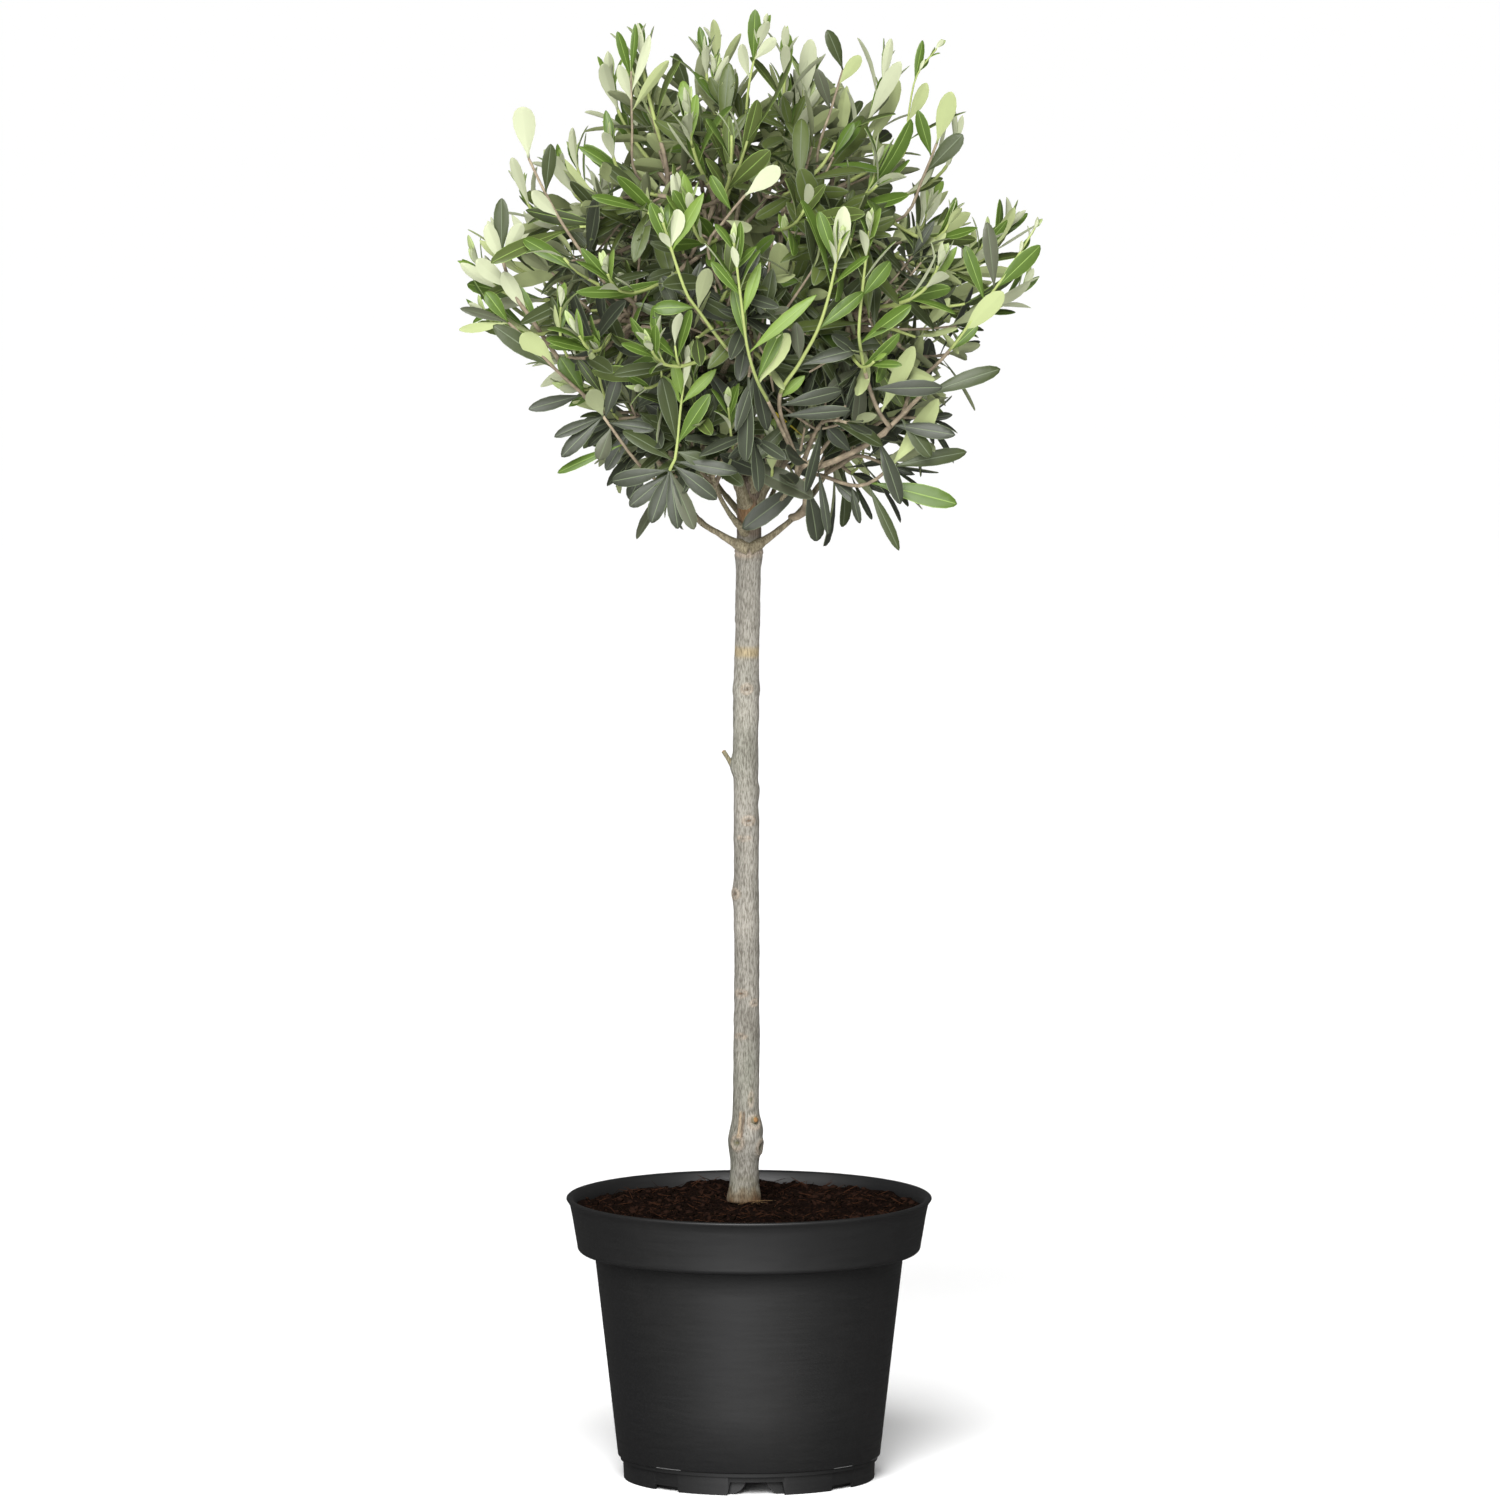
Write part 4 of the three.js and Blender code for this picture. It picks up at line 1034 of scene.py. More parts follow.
def grow_shown(plans):
    """Leaves and stems of the shoots that stand out, each from the nearest wood, and lines along both."""
    limbs = np.concatenate([plan["curve"] for plan in plans])
    added, stems, lines = [], [], []
    for n, (thick, thin, clothed, way, singles) in enumerate(SHOWN):
        draw = seeded(SEEDS.shown + n)
        way = [np.array(point, float) for point in way]
        nearer = np.hypot(limbs[:, 0], limbs[:, 1]) < np.hypot(*way[0][:2]) + 2
        under = limbs[nearer & (limbs[:, 2] < way[0][2] - 6)]
        root = under[np.argmin(norm(under - way[0], axis=1))]
        path = Path(through([root, *way]))
        direction = unit(way[-1] - UP * HEAD.middle)
        sprays = min(plans, key=lambda plan: norm(plan["hub"] - way[-1]))["sprays"]
        tip = {"direction": direction, "low": clothed == 1}
        shoot = {"path": path, "side": along(0.4, 0), "tip": tip, "base": thick, "end": thin, "order": 0,
                 "sprays": sprays, "vigour": thick / SHOWN_VIGOUR, "tone": 0.75, "low": clothed == 1,
                 "nodes": []}
        if clothed < 1:
            upper = Path([path.at(s) for s in np.linspace(clothed, 1, 12) * path.length])
            young = {**shoot, "order": 1, "path": upper}
            grow_leaves(young, added, draw)
            shoot["nodes"] = [path.length - upper.length + node for node in young["nodes"]]
        stems.append(shoot)
        points = np.array([path.at(s) for s in np.linspace(0, path.length, 60)])
        if clothed == 1:
            limbs = np.concatenate([limbs, points])
        lines.extend(zip(points[28:-1], points[29:]))
        for x, z, to_x, to_z, width, look in singles:
            base = points[np.argmin((points[:, 0] - x) ** 2 + (points[:, 2] - z) ** 2)]
            end = np.array([to_x, base[1] - draw(2, 12), to_z])
            added.append(single_leaf(base, end, width, look, sprays, draw))
            lines.append((base, end))
    return added, stems, lines


def through(points):
    """A smooth line through points."""
    points = [2 * points[0] - points[1], *points, 2 * points[-1] - points[-2]]
    line = []
    for a, b, c, d in zip(points, points[1:], points[2:], points[3:]):
        for t in np.linspace(0, 1, 10, endpoint=False):
            square, cube = 2 * a - 5 * b + 4 * c - d, 3 * b - a - 3 * c + d
            line.append(0.5 * (2 * b + (c - a) * t + square * t**2 + cube * t**3))
    return [*line, points[-2]]


def single_leaf(base, end, width, look, sprays, draw):
    """A leaf from a base to its tip that turns one of its faces to the front."""
    heading = unit(end - base)
    seen = np.array([draw(-0.4, 0.4), -1.0, draw(0.1, 0.6)])
    if look in ("pale", "sage", "dull"):
        seen = -seen
    return {
        "sprays": sprays,
        "base": base,
        "heading": heading,
        "face": across(seen, heading),
        "length": float(norm(end - base)),
        "width": width,
        "acute": 0.9 if look == "fresh" else draw(0.1, 0.5),
        "curl": draw(0.05, 0.45),
        "fold": draw(0.06, 0.3),
        "twist": draw(-0.3, 0.3),
        "look": named(*SHOWN_LOOKS[look]),
    }


def covers(leaf, starts, ends):
    """Whether a leaf lies close in front of any of the lines, as seen from the front."""
    middle = leaf["base"] + leaf["heading"] * leaf["length"] / 2
    flat = np.array([1.0, 0, 1.0])
    run = (ends - starts) * flat
    share = np.clip(((middle - starts) * run).sum(axis=1) / (run**2).sum(axis=1), 0, 1)[:, None]
    near = starts + (ends - starts) * share
    aside = norm((middle - near) * flat, axis=1)
    return bool(np.any((aside < CLEARED.aside) & (middle[1] < near[:, 1] + CLEARED.behind)))


# Pieces of the plant

def leaf_points(leaves):
    """Corners of blades by leaf, station and line. A blade is creased along its midrib and curls back."""
    column = lambda key: np.array([leaf[key] for leaf in leaves])[:, None, None]
    vector = lambda key: np.array([leaf[key] for leaf in leaves])[:, None, None, :]
    u = np.array(LEAF_STATIONS)[None, :, None]
    blunt, acute = (np.array(widths)[None, :, None] for widths in (BLUNT_WIDTHS, ACUTE_WIDTHS))
    half = column("width") * mix(blunt, acute, column("acute")) / 2
    share = np.array([line[0] for line in BLADE])[None, None, :]
    side = np.array([line[1] for line in BLADE])[None, None, :]
    thick = LEAF.thickness / 2 * np.minimum(1, half / 1.2)
    aside = half * share
    height = half * np.abs(share) * column("fold") + thick * side
    turn = column("twist") * u
    right = aside * np.cos(turn) - height * np.sin(turn)
    above = aside * np.sin(turn) + height * np.cos(turn)
    curl = column("curl")
    radius = column("length") / curl
    forward = radius * np.sin(curl * u) + above * np.sin(curl * u)
    upward = above * np.cos(curl * u) - radius * (1 - np.cos(curl * u))
    heading, face = vector("heading"), vector("face")
    return (
        vector("base")
        + heading * forward[..., None]
        + face * upward[..., None]
        + np.cross(heading, face) * right[..., None]
    )


def leaf_piece(name, leaves, materials):
    """Leaves joined into one piece, each a closed blade."""
    points = leaf_points(leaves)
    lines = len(BLADE)
    each = len(LEAF_STATIONS) * lines
    quads = skin(len(LEAF_STATIONS), lines)
    ends = [tuple(range(lines)), tuple(range(each - 1, each - 1 - lines, -1))]
    strips = [tuple(reversed(quad)) for quad in quads] + ends
    kinds = [BLADE[quad[0] % lines][2] for quad in quads] + ["rib", "rib"]
    names = [m.name for m in materials]
    faces, looks = [], []
    for n, leaf in enumerate(leaves):
        top, under, rib = (names.index(look) for look in leaf["look"])
        look = {"top": top, "under": under, "rib": rib, "ridge": under}
        faces.extend([tuple(n * each + i for i in strip) for strip in strips])
        looks.extend([look[kind] for kind in kinds])
    made = make_object(name, points.reshape(-1, 3), faces, materials, looks)
    mark_margins(made.data, each)
    return made


def mark_margins(data, each):
    """Marks the edges between a blade's two faces as sharp."""
    ends = np.zeros(len(data.edges) * 2, np.int32)
    data.edges.foreach_get("vertices", ends)
    line = ends.reshape(-1, 2) % each % len(BLADE)
    margins = [i for i, blade_line in enumerate(BLADE) if blade_line[1] == 0]
    sharp = data.attributes.new("sharp_edge", "BOOLEAN", "EDGE")
    sharp.data.foreach_set("value", (line[:, 0] == line[:, 1]) & np.isin(line[:, 0], margins))


def shoot_tube(bundle, shoot, start, end, sides):
    """The part of a shoot from start to end, with a slight swelling at each node."""
    path = shoot["path"]
    places = {start, end}
    for node in shoot["nodes"]:
        places.update(p for p in (node - 2.2, node, node + 2.2) if start < p < end)
    places.update(np.arange(start + 6, end - 3, 9.0))
    places = np.array(sorted(places))
    radii = mix(shoot["base"], shoot["end"], places / path.length)
    for node in shoot["nodes"]:
        radii = radii * (1 + 0.2 * np.exp(-(((places - node) / 1.5) ** 2)))
    bundle.add(*tube(path, places, radii, sides))


def shoot_pieces(shoots, woody, green):
    """The twigs of grey-brown wood and the green shoots."""
    wood, soft = Bundle(), Bundle()
    for shoot in shoots:
        length = shoot["path"].length
        if shoot["low"]:
            shoot_tube(wood, shoot, 0, length, 7)
        elif shoot["order"] == 0:
            shoot_tube(wood, shoot, 0, WOODY * length + 1.5, 7)
            shoot_tube(soft, shoot, WOODY * length, length, 7)
        else:
            shoot_tube(soft, shoot, 0, length, 6)
    return wood.make("twigs", [woody]), soft.make("green_shoots", [green])


def paint(made, colours):
    """Lays the bark's tint on a piece, as linear colours by corner point."""
    tint = made.data.color_attributes.new("tint", "FLOAT_COLOR", "POINT")
    rgba = np.ones((len(colours), 4), np.float32)
    rgba[:, :3] = colours
    tint.data.foreach_set("color", rgba.ravel())


def bark_tint(points, seed):
    """Grey-beige with paler and darker patches, and fine streaks along the limb."""
    base, pale, dark, green = (np.array(linear(BARK[k])) for k in ("base", "pale", "dark", "green"))
    patch = noise(points, (9, 9, 26), seed)[:, None]
    streak = noise(points, (1.3, 1.3, 7), seed + 1)[:, None]
    moss = np.clip(noise(points, (16, 16, 60), seed + 2)[:, None], 0, 1)
    colour = base
    for values, paler, darker in ((patch, 0.7, 0.5), (-streak, 0.3, 0.4)):
        colour = colour + (pale - base) * np.clip(values, 0, 1) * paler
        colour = colour + (dark - base) * np.clip(-values, 0, 1) * darker
    return mix(colour, green, moss * 0.5)


def laid_on(colour, name, share):
    """A bark colour laid over another by shares at the points."""
    return mix(colour, np.array(linear(BARK[name])), np.clip(share, 0, 1)[:, None])


def sideways(azimuths, middle):
    """Angles in radians from a middle azimuth in degrees, from -pi to pi."""
    return (azimuths - radians(middle) + pi) % (2 * pi) - pi


def bell(x):
    """A smooth swell from 0 at -1 to 1 at 0 and back to 0 at 1."""
    return np.where(np.abs(x) >= 1, 0, 0.5 + 0.5 * np.cos(pi * np.clip(x, -1, 1)))


def trunk_radius(height, azimuth):
    """The solid trunk's radius, with its flare, burl and knots."""
    t = TRUNK
    low = np.clip((t.waist_at - height) / (t.waist_at - t.start), 0, 1)
    high = np.clip((height - t.waist_at) / (t.tip - t.waist_at), 0, 1)
    radius = mix(t.waist, t.foot_radius, low) + (t.head_radius - t.waist) * high**2
    for at, out, half, side in SWELLINGS:
        towards = 1 if side is None else np.clip(np.cos(azimuth - radians(side)), 0, 1)
        radius = radius + out * bell((height - at) / half) * towards
    return radius


def trunk_piece(material):
    """The trunk with its bark's relief, healed scars and rounded top."""
    t = TRUNK
    heights = np.arange(t.foot, t.tip, t.step)
    turns = np.arange(t.sides) * 2 * pi / t.sides
    z, a = np.meshgrid(heights, turns, indexing="ij")
    radius = trunk_radius(z, a)
    flat = np.stack([radius * np.cos(a), radius * np.sin(a), z], axis=-1)
    relief = sum(deep * noise(flat, size, n) for n, (deep, size) in enumerate(RELIEF, 1))
    marks = {name: np.zeros_like(z) for name in ("scar", "brown", "olive", "tan")}

    def mark(name, share):
        marks[name] = np.maximum(marks[name], share)

    for at, azimuth, wide, tall, ridge, pit in SCARS:
        around, up = sideways(a, azimuth) * radius / wide, (z - at) / tall
        rim = np.exp(-(((np.hypot(around, up) - 1) / 0.36) ** 2))
        hollow = np.exp(-((np.hypot(around, up * EYE.flat) / EYE.wide) ** 2))
        relief += ridge * rim - pit * hollow
        mark("scar", rim * 0.45)
        mark("olive" if at < EYE.olive_below else "brown", hollow)
    around = sideways(a, TONGUE.azimuth) * radius / TONGUE.half
    along_it = np.clip((z - TONGUE.low) / 2, 0, 1) * np.clip((TONGUE.high - z) / 2, 0, 1)
    tongue, groove = bell(around / 1.4) * along_it, bell((around - 1.9) / 1.0) * along_it
    relief += TONGUE.out * tongue - TONGUE.deep * groove
    mark("tan", tongue)
    mark("brown", groove)
    collar = bell((z - COLLAR.at) / COLLAR.half)
    wavy = z + 0.9 * noise(flat, (5, 5, 40), 5)
    relief += COLLAR.deep * collar * np.sin(2 * pi * wavy / COLLAR.pitch)
    mark("scar", collar * (0.5 + 0.4 * noise(flat, (4, 4, 1.6), 6)))
    top = np.clip((z - (t.tip - t.rounding)) / t.rounding, 0, 1)
    radius = (radius + relief) * np.sqrt(np.clip(1 - 0.75 * top**2, 0.1, 1))
    x = np.array([trunk_centre(h)[0] for h in heights])[:, None]
    points = np.stack([x + radius * np.cos(a), radius * np.sin(a), z], axis=-1).reshape(-1, 3)
    faces = skin(len(heights), t.sides)
    faces.append(tuple(reversed(range(t.sides))))
    last = (len(heights) - 1) * t.sides
    faces.extend((last + k, last + (k + 1) % t.sides, len(points)) for k in range(t.sides))
    points = np.concatenate([points, [trunk_centre(t.tip) + UP * 0.4]])
    made = make_object("trunk_bark", points, faces, [material])
    paint(made, trunk_tint(points, a, marks))
    return made


def trunk_tint(points, turns, marks):
    """The trunk's bark: painted lighter upwards as painted light, damp low down, brown over its fork, and
    marked at its scars.
    """
    height, edge = points[:, 2], noise(points, (5, 5, 4), 12)
    risen = np.clip((height - PAINTED_LIGHT_BY_HEIGHT.low) / (PAINTED_LIGHT_BY_HEIGHT.high - PAINTED_LIGHT_BY_HEIGHT.low), 0, 1)[:, None]
    # Painted light and shade: the bark is darkened low down and lightened up the trunk.
    colour = bark_tint(points, 11) * mix(PAINTED_LIGHT_BY_HEIGHT.old, PAINTED_LIGHT_BY_HEIGHT.young, risen)
    for name, share in marks.items():
        colour = laid_on(colour, name, np.append(share.ravel(), 0))
    off_band = np.abs(height - sum(PALE_BAND) / 2 + 0.6 * edge) / (PALE_BAND[1] - PALE_BAND[0])
    colour = laid_on(colour, "ochre", np.clip(1.5 - off_band * 2.4, 0, 1) * 0.8)
    for name, top, uneven, fade, most in DAMP:
        colour = laid_on(colour, name, (top + uneven * edge - height) / fade * most)
    colour = laid_on(colour, "knob", np.clip((height - FORKED.low) / 5, 0, 1) * 0.9)
    low, high = FORKED.stain
    facing_it = np.cos(np.append(sideways(turns, FORKED.stain_side).ravel(), pi))
    stain = bell((height - (low + high) / 2) / (high - low) * 2) * np.clip(facing_it, 0, 1) ** 2
    return laid_on(colour, "stain", stain * (0.9 + 0.4 * edge))


def bough_piece(plans, material):
    """Boughs and the stems that they go on as, each flared where it leaves its carrier."""
    bundle, tints = Bundle(), []
    for n, plan in enumerate(plans):
        path = Path(plan["seen"])
        places = np.append(np.arange(0, path.length - 2, BOUGH.ring), [path.length - 1, path.length])
        share = places / path.length / plan["share"]
        tier = plan["tier"]
        radii = np.where(share < 1, mix(tier["base"], tier["tip"], np.minimum(share, 1)), tier["tip"])
        tail = np.clip((places / path.length - plan["share"]) / (1 - plan["share"]), 0, 1)
        radii = mix(radii, STEM.tip, tail)
        carrier = 9.0 if tier["name"] != "side" else 3.6
        radii = radii * (1 + BOUGH.flare * np.exp(-np.maximum(0, places - carrier) / BOUGH.flared_over))
        draw = seeded(SEEDS.knots + n)
        for _ in range(BOUGH.knots):
            at = draw(carrier + 8, path.length)
            radii = radii * (1 + draw(0.1, 0.3) * np.exp(-(((places - at) / BOUGH.knot_half) ** 2)))
        radii[-1] *= 0.5
        vertices, faces = tube(path, places, radii, BOUGH.sides)
        centres = np.repeat(path.at(places), BOUGH.sides, axis=0)
        scale = 1 + 0.07 * noise(vertices, (4, 4, 7), 21 + n) + 0.04 * noise(vertices, 1.6, 22 + n)
        vertices = centres + (vertices - centres) * scale[:, None]
        bundle.add(vertices, faces)
        tints.append(bark_tint(vertices, 31 + n) * WARMER)
    for start, end, _, radius in stubs():
        path = Path(bezier([start, (start + end) / 2 + UP * 0.4, end], 10))
        places = np.linspace(0, path.length, 8)
        thick = radius * mix(1.5, 1.0, np.clip(places / path.length * 1.6, 0, 1))
        vertices, faces = tube(path, places, thick, 12)
        bundle.add(vertices, faces)
        tints.append(bark_tint(vertices, 51) * WARMER)
    made = bundle.make("bough_bark", [material])
    paint(made, np.concatenate(tints))
    return made


def stubs():
    """Root, end, way and radius of each cut twig on the trunk."""
    for at, azimuth, length, radius, rise in STUBS:
        turn = radians(azimuth)
        way = along(turn, radians(rise))
        start = trunk_centre(at) + along(turn, 0) * (trunk_radius(at, turn) - 3)
        yield start, start + way * (length + 3), way, radius


def cut_ends(material):
    """Bare wood on the ends of the cut twigs."""
    bundle = Bundle()
    for _, end, way, radius in stubs():
        path = Path([end - way, end + way * 0.25, end + way * 0.6])
        bundle.add(*tube(path, [0, 1.25, 1.5], [radius * 0.7, radius * 0.66, radius * 0.4], 12))
    return bundle.make("cut_ends", [material])


# The pot

def open_height(cut, azimuth):
    """How high a cut opens the pot's foot at an azimuth in degrees."""
    for middle in cut.azimuths:
        off = off_by(azimuth, middle)
        if abs(off) < WIDEST:
            away = abs(cut.radius * sin(radians(off)))
            share = clamp((cut.width / 2 - away) / cut.slant)
            if share:
                return cut.height * (1 - sqrt(1 - share**2) if cut.rounded else share)
    return 0.0


def arc(middle, radius, first, last, steps):
    """Points round a middle, from one angle in degrees to another."""
    turns = np.radians(np.linspace(first, last, steps + 1))
    return [(middle[0] + radius * cos(t), middle[1] + radius * sin(t)) for t in turns]


def pot_profile():
    """The pot's section as (radius, height) from the foot ring's outer edge up, over and down inside."""
    p = POT
    step = p.ring_height + p.ring_step
    slope = (p.body_head - p.body_foot) / (p.shoulder - step)
    round_at = (p.collar_foot - p.collar_round + 0.4, p.shoulder + p.collar_round)
    lip = [(0.9, 2.9), (0, 1.6), (0.1, 0.8), (0.8, 0.1), (2.0, 0), (3.6, 0.3), (4.8, 1.3)]
    return [
        (p.ring_foot - 0.4, 0.0),
        (p.ring_foot, 0.4),
        (p.ring_head, p.ring_height),
        (p.ring_head + 0.5, p.ring_height + 0.5),
        (p.body_foot - 0.5, step - 0.3),
        (p.body_foot, step + 0.2),
        *((p.body_foot + slope * (height - step), height) for height in (60.0, 110.0, 150.0)),
        (p.body_head, p.shoulder - 0.8),
        (p.body_head + 0.8, p.shoulder),
        *arc(round_at, p.collar_round, -88, 4, 8),
        (p.collar_head - 1, p.height - 14),
        (p.collar_head, p.height - 9.0),
        (p.collar_head + 0.8, p.height - 5.4),
        *((p.lip - back, p.height - down) for back, down in lip),
        (p.mouth, p.height - 8),
        (p.neck, p.shoulder + p.wall),
        (p.body_head - p.wall, p.shoulder + p.wall),
        (p.body_foot - p.wall, p.floor + p.wall),
        (2.0, p.floor + p.wall),
        (2.0, p.floor),
        (p.inner_ring - p.wall, p.floor),
        (p.inner_ring - p.wall, p.inner_ring_foot),
        (p.inner_ring, p.inner_ring_foot),
        (p.inner_ring, p.floor),
        (p.ring_head - p.wall, p.floor),
        (p.ring_foot - p.wall, 0.0),
    ]


def pot_azimuths():
    """Even columns, with more at the sides of the cuts so that these stay crisp."""
    turns = set(np.linspace(-180, 180, POT.columns, endpoint=False))
    for cut in (*RING_CUTS, *ARCHES):
        for middle in cut.azimuths:
            for away in np.linspace(cut.width / 2 - cut.slant, cut.width / 2, 5):
                off = degrees(asin(away / cut.radius))
                turns.update((middle + off, middle - off))
    wrapped = sorted(off_by(turn, 0) for turn in turns)
    return [t for t, after in zip(wrapped, wrapped[1:] + [wrapped[0] + 360]) if after - t > 0.05]


def pot_piece(materials):
    """The pot, with its foot ring cut away where water drains."""
    azimuths = pot_azimuths()
    rows = []
    for radius, height in pot_profile():
        cuts = ()
        if height < POT.floor:
            cuts = RING_CUTS if radius > POT.inner_ring + 1 else ARCHES
        row = []
        for azimuth in azimuths:
            turn = radians(azimuth)
            z = max([height, *(open_height(cut, azimuth) for cut in cuts)])
            row.append((radius * cos(turn), radius * sin(turn), z))
        rows.append(row)
    columns = len(azimuths)
    faces = skin(len(rows), columns)
    last = (len(rows) - 1) * columns
    faces.extend((last + k, last + (k + 1) % columns, (k + 1) % columns, k) for k in range(columns))
    looks = np.zeros(len(faces), int)
    # A lighter strip in broken places on the edge over the foot ring: scuffs, and a painted highlight where
    # the rounded edge catches light.
    edge = noise(np.array(rows[EDGE_SCUFF_AND_HIGHLIGHT.row]), EDGE_SCUFF_AND_HIGHLIGHT.grain, EDGE_SCUFF_AND_HIGHLIGHT.seed) > EDGE_SCUFF_AND_HIGHLIGHT.over
    looks[(EDGE_SCUFF_AND_HIGHLIGHT.row - 1) * columns:EDGE_SCUFF_AND_HIGHLIGHT.row * columns] = edge
    made = make_object("pot_shell", np.array(rows).reshape(-1, 3), faces, materials, looks)
    made.data.set_sharp_from_angle(angle=radians(42))
    return made


# The compost

def compost_height(x, y):
    """The lumpy top of the compost, a little heaped towards the trunk."""
    flat = np.stack([x, y, np.zeros_like(x)], axis=-1)
    inwards = np.clip(1 - np.hypot(x, y) / COMPOST.rim, 0, 1)
    height = COMPOST.edge + (COMPOST.crown - COMPOST.edge) * inwards**0.7
    height = height + sum(high * noise(flat, size, COMPOST.seed + n) for n, (high, size) in enumerate(LUMPS))
    return np.minimum(height, COMPOST.top)


def compost_piece(material):
    """The compost's surface over a closed plug that fills the pot's mouth."""
    slope = (POT.mouth - POT.neck) / (POT.height - 8 - POT.shoulder - POT.wall)
    wall = lambda z: POT.neck + slope * (z - POT.shoulder - POT.wall) - 0.4
    shares = np.linspace(0.02, 1, COMPOST.rings) ** 0.8
    turns = np.arange(COMPOST.columns) * 2 * pi / COMPOST.columns
    radius, turn = np.meshgrid(shares * wall(COMPOST.edge), turns, indexing="ij")
    x, y = radius * np.cos(turn), radius * np.sin(turn)
    top = np.stack([x, y, compost_height(x, y)], axis=-1).reshape(-1, 3)
    under, low = wall(COMPOST.under), np.full_like(turns, COMPOST.under)
    foot = np.stack([under * np.cos(turns), under * np.sin(turns), low], axis=-1)
    faces = [tuple(reversed(face)) for face in skin(len(shares) + 1, COMPOST.columns)]
    faces.append(tuple(range(COMPOST.columns)))
    start = len(shares) * COMPOST.columns
    faces.append(tuple(start + k for k in reversed(range(COMPOST.columns))))
    return make_object("compost_bed", np.concatenate([top, foot]), faces, [material])


def scattered(draw, rim):
    """A place on the compost's top."""
    radius = rim * sqrt(draw())
    turn = 2 * pi * draw()
    x, y = radius * cos(turn), radius * sin(turn)
    return np.array([x, y, float(compost_height(np.array([x]), np.array([y]))[0])])


def crumb_piece(materials):
    """Crumbs of peat and bark on the compost."""
    bundle = Bundle()
    draw = seeded(CRUMBS.seed)
    turns = np.arange(6) * pi / 3
    ring = lambda r, z, offset: [(r * cos(t + offset), r * sin(t + offset), z) for t in turns]
    shape = np.array([(0, 0, -1), *ring(0.85, -0.5, 0), *ring(0.9, 0.4, 0.5), (0, 0, 1)])
    faces = [(0, 1 + (k + 1) % 6, 1 + k) for k in range(6)]
    faces += [(1 + k, 1 + (k + 1) % 6, 7 + (k + 1) % 6, 7 + k) for k in range(6)]
    faces += [(7 + k, 7 + (k + 1) % 6, 13) for k in range(6)]
    for n in range(CRUMBS.count):
        place = scattered(draw, CRUMBS.reach)
        size = mix(CRUMBS.least, CRUMBS.most, draw() ** 2.4)
        scale = size * np.array([draw(0.7, 1.5), draw(0.6, 1.1), draw(0.4, 0.8)])
        turn = 2 * pi * draw()
        points = shape * scale * (1 + 0.3 * noise(shape + n * 3.1, 0.8, CRUMBS.shape_seed)[:, None])
        x = points[:, 0] * cos(turn) - points[:, 1] * sin(turn)
        y = points[:, 0] * sin(turn) + points[:, 1] * cos(turn)
        tilt = draw(-0.5, 0.5)
        points = np.stack([x, y, points[:, 2] + x * tilt], axis=-1) + place + UP * size * 0.1
        points[:, 2] = np.minimum(points[:, 2], COMPOST.top)
        bundle.add(points, faces, int(draw() * len(materials)))
    return bundle.make("compost_crumbs", materials)


def fibre_piece(materials):
    """Peat fibres over the compost, and fine pale roots by the trunk."""
    bundle = Bundle()
    draw = seeded(FIBRES.seed)
    for _ in range(FIBRES.count):
        start = scattered(draw, FIBRES.reach)
        length = mix(FIBRES.least, FIBRES.most, draw() ** 1.6)
        turn = 2 * pi * draw()
        way = along(turn, draw(-0.1, 0.5))
        swing = along(turn + 1.6, draw(-0.6, 0.4)) * length * draw(-0.35, 0.35)
        end = start + way * length
        end[2] = min(end[2], FIBRES.top)
        end[:2] *= FIBRES.limit / max(FIBRES.limit, hypot(end[0], end[1]))
        path = Path(bezier([start - UP * 0.4, start + way * length * 0.5 + swing, end], 8))
        places = np.linspace(0, path.length, 5)
        radius = FIBRES.radius * draw(0.7, 1.5)
        vertices, faces = tube(path, places, radius * np.array([0.8, 1, 1, 0.9, 0.4]), 4)
        vertices[:, 2] = np.minimum(vertices[:, 2], COMPOST.top)
        bundle.add(vertices, faces, 0 if draw() < FIBRES.dark else 1)
    draw = seeded(FINE_ROOTS.seed)
    foot = trunk_centre(TRUNK.start)
    for _ in range(FINE_ROOTS.count):
        turn = draw(FINE_ROOTS.first, FINE_ROOTS.last)
        far = draw(16, FINE_ROOTS.reach)
        start = foot + along(turn, 0) * 9 - UP * 0.5
        middle = foot + along(turn + draw(-0.5, 0.5), 0) * far * 0.7 + UP * draw(-0.5, 1.6)
        end = foot + along(turn + draw(-0.9, 0.9), 0) * far - UP * 1.5
        path = Path(bezier([start, middle, end], 10))
        places = np.linspace(0, path.length, 7)
        radius = FINE_ROOTS.radius * draw(0.6, 1.3)
        bundle.add(*tube(path, places, radius * mix(1, 0.5, places / path.length), 5), 2)
    return bundle.make("compost_fibres", materials)


# The stage

CAMERA = Values(distance=30.0, elevation=7.85, width=1.1066, aim=(0.7, 0.0, 542.4), sensor=36.0)


def make_camera():
    """A long lens at the photograph's viewing angle."""
    data = bpy.data.cameras.new("camera")
    data.sensor_width = CAMERA.sensor
    data.lens = CAMERA.sensor * CAMERA.distance / CAMERA.width
    data.clip_end = 100
    made = placed("camera", data)
    tilt = radians(CAMERA.elevation)
    back = np.array([0, -cos(tilt), sin(tilt)])
    made.location = np.array(CAMERA.aim) * MM + back * CAMERA.distance
    made.rotation_euler = (pi / 2 - tilt, 0, 0)
    bpy.context.scene.camera = made


def area_light(name, place, aim, size, power):
    """A soft light that looks from a place at an aim, both in metres."""
    data = bpy.data.lights.new(name, "AREA")
    data.shape = "RECTANGLE"
    data.size, data.size_y = size
    data.energy = power
    made = placed(name, data)
    made.location = place
    way = np.array(aim) - np.array(place)
    made.rotation_euler = (acos(-unit(way)[2]), 0, atan2(way[1], way[0]) - pi / 2)
    return made


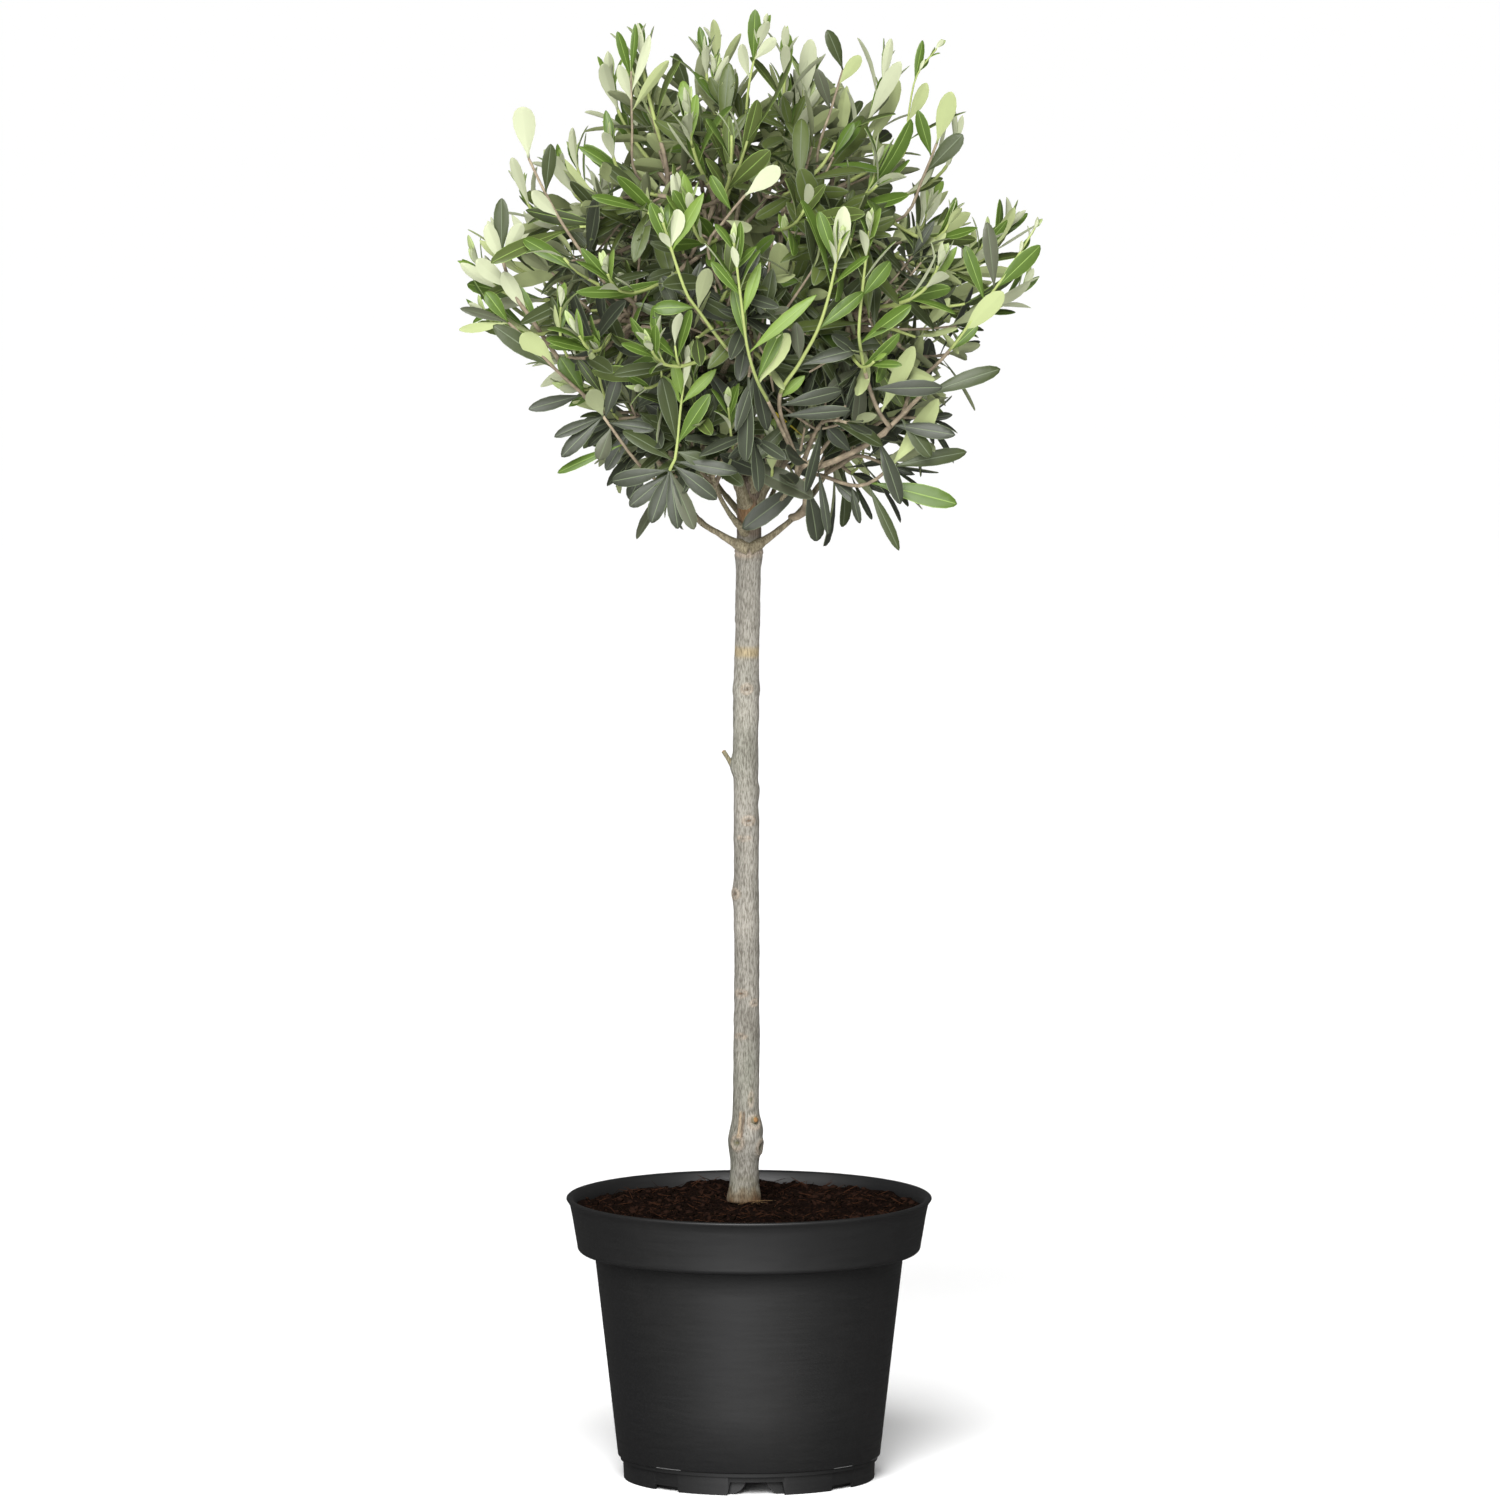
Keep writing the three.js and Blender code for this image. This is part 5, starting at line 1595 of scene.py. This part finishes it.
def world_front(world, strength):
    """A dim sky that is brighter in front, like a wide window behind the viewer."""
    place = add_node(world, "ShaderNodeTexCoord")
    parts = add_node(world, "ShaderNodeSeparateXYZ")
    link(world, place.outputs["Generated"], parts.inputs[0])
    source = parts.outputs["Y"]
    steps = (("MULTIPLY", -1, 0), ("MAXIMUM", 0, 0), ("POWER", 2, 0), ("MULTIPLY_ADD", 0.55, 0.11))
    for operation, number, more in steps:
        step = add_node(world, "ShaderNodeMath", operation=operation)
        link(world, source, step.inputs[0])
        step.inputs[1].default_value = number
        step.inputs[2].default_value = more
        source = step.outputs[0]
    link(world, source, strength)


def make_stage():
    """A pale floor, a pale sky and soft lights in front."""
    bpy.ops.mesh.primitive_plane_add(size=80)
    floor = bpy.context.object
    floor.name = "floor"
    floor.data.materials.append(plain("floor_paper", (252, 252, 252), 0.9, 0.1))
    floor.visible_glossy = False
    world = bpy.context.scene.world or bpy.data.worlds.new("world")
    bpy.context.scene.world = world
    world.use_nodes = True
    sky = world.node_tree.nodes["Background"]
    sky.inputs["Color"].default_value = (1, 0.995, 0.985, 1)
    world_front(world, sky.inputs["Strength"])
    sun = bpy.data.lights.new("sun", "SUN")
    sun.energy = 4.9
    sun.angle = radians(30)
    lamp = placed("sun", sun)
    lamp.rotation_euler = (radians(56), 0, radians(-5))
    area_light("front", (-0.6, -2.9, 0.9), (0, 0, 0.5), (1.2, 1.4), 52)
    for name, side, power in (("back_left", -2.2, 30), ("back_right", 2.2, 18)):
        area_light(name, (side, 2.2, 1.3), (0, 0, 0.6), (1.6, 1.6), power).visible_glossy = False
    bpy.context.scene.view_settings.view_transform = "Standard"


# Building

def dress(piece, slot, *nodes):
    """Ties a piece to the part's body and hides the solids that it stands for. Its slot is not used."""
    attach(piece, "root")
    if nodes:
        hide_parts(*nodes)


make_camera()
make_stage()

plans = bough_plans()
leaves, shoots = grow_head(plans, head_tips())

# A lighter grey for the edge over the foot ring: scuffs, and a painted highlight.
edge_scuff_and_highlight = plain("scuffed_plastic", (112, 112, 112), 0.7, 0.1)
dress(pot_piece([pot_plastic(), edge_scuff_and_highlight]), "pot_plastic", "pot")
soil = compost_soil()
dress(compost_piece(soil), "compost", "compost")
peat = plain("peat_crumb", (13, 7, 4), 0.95, 0.03)
chip = plain("bark_crumb", (30, 17, 11), 0.9, 0.05)
fibre = plain("peat_fibre", (50, 30, 19), 0.9, 0.05)
dark_fibre = plain("dark_fibre", (22, 13, 8), 0.9, 0.05)
root = plain("fine_root", (96, 76, 52), 0.85, 0.1)
dress(crumb_piece([peat, chip, soil]), "compost")
dress(fibre_piece([dark_fibre, fibre, root]), "compost")

bark_material = bark()
dress(trunk_piece(bark_material), "bark", "trunk")
boughs = [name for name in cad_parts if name.startswith("bough_")]
dress(bough_piece(plans, bark_material), "bark", *boughs)
dress(cut_ends(plain("cut_wood", (128, 96, 62), 0.8, 0.1)), "bark")

for twigs in shoot_pieces(shoots, twig_bark(), plain("green_bark", (143, 154, 92), 0.6, 0.3)):
    dress(twigs, "foliage")
blades = blade_materials()
for sprays in sorted({plan["sprays"] for plan in plans}):
    mine = [leaf for leaf in leaves if leaf["sprays"] == sprays]
    stands_for = ["foliage_" + plan["name"] for plan in plans if plan["sprays"] == sprays]
    dress(leaf_piece("leaves_" + sprays, mine, blades), "foliage", *stands_for)
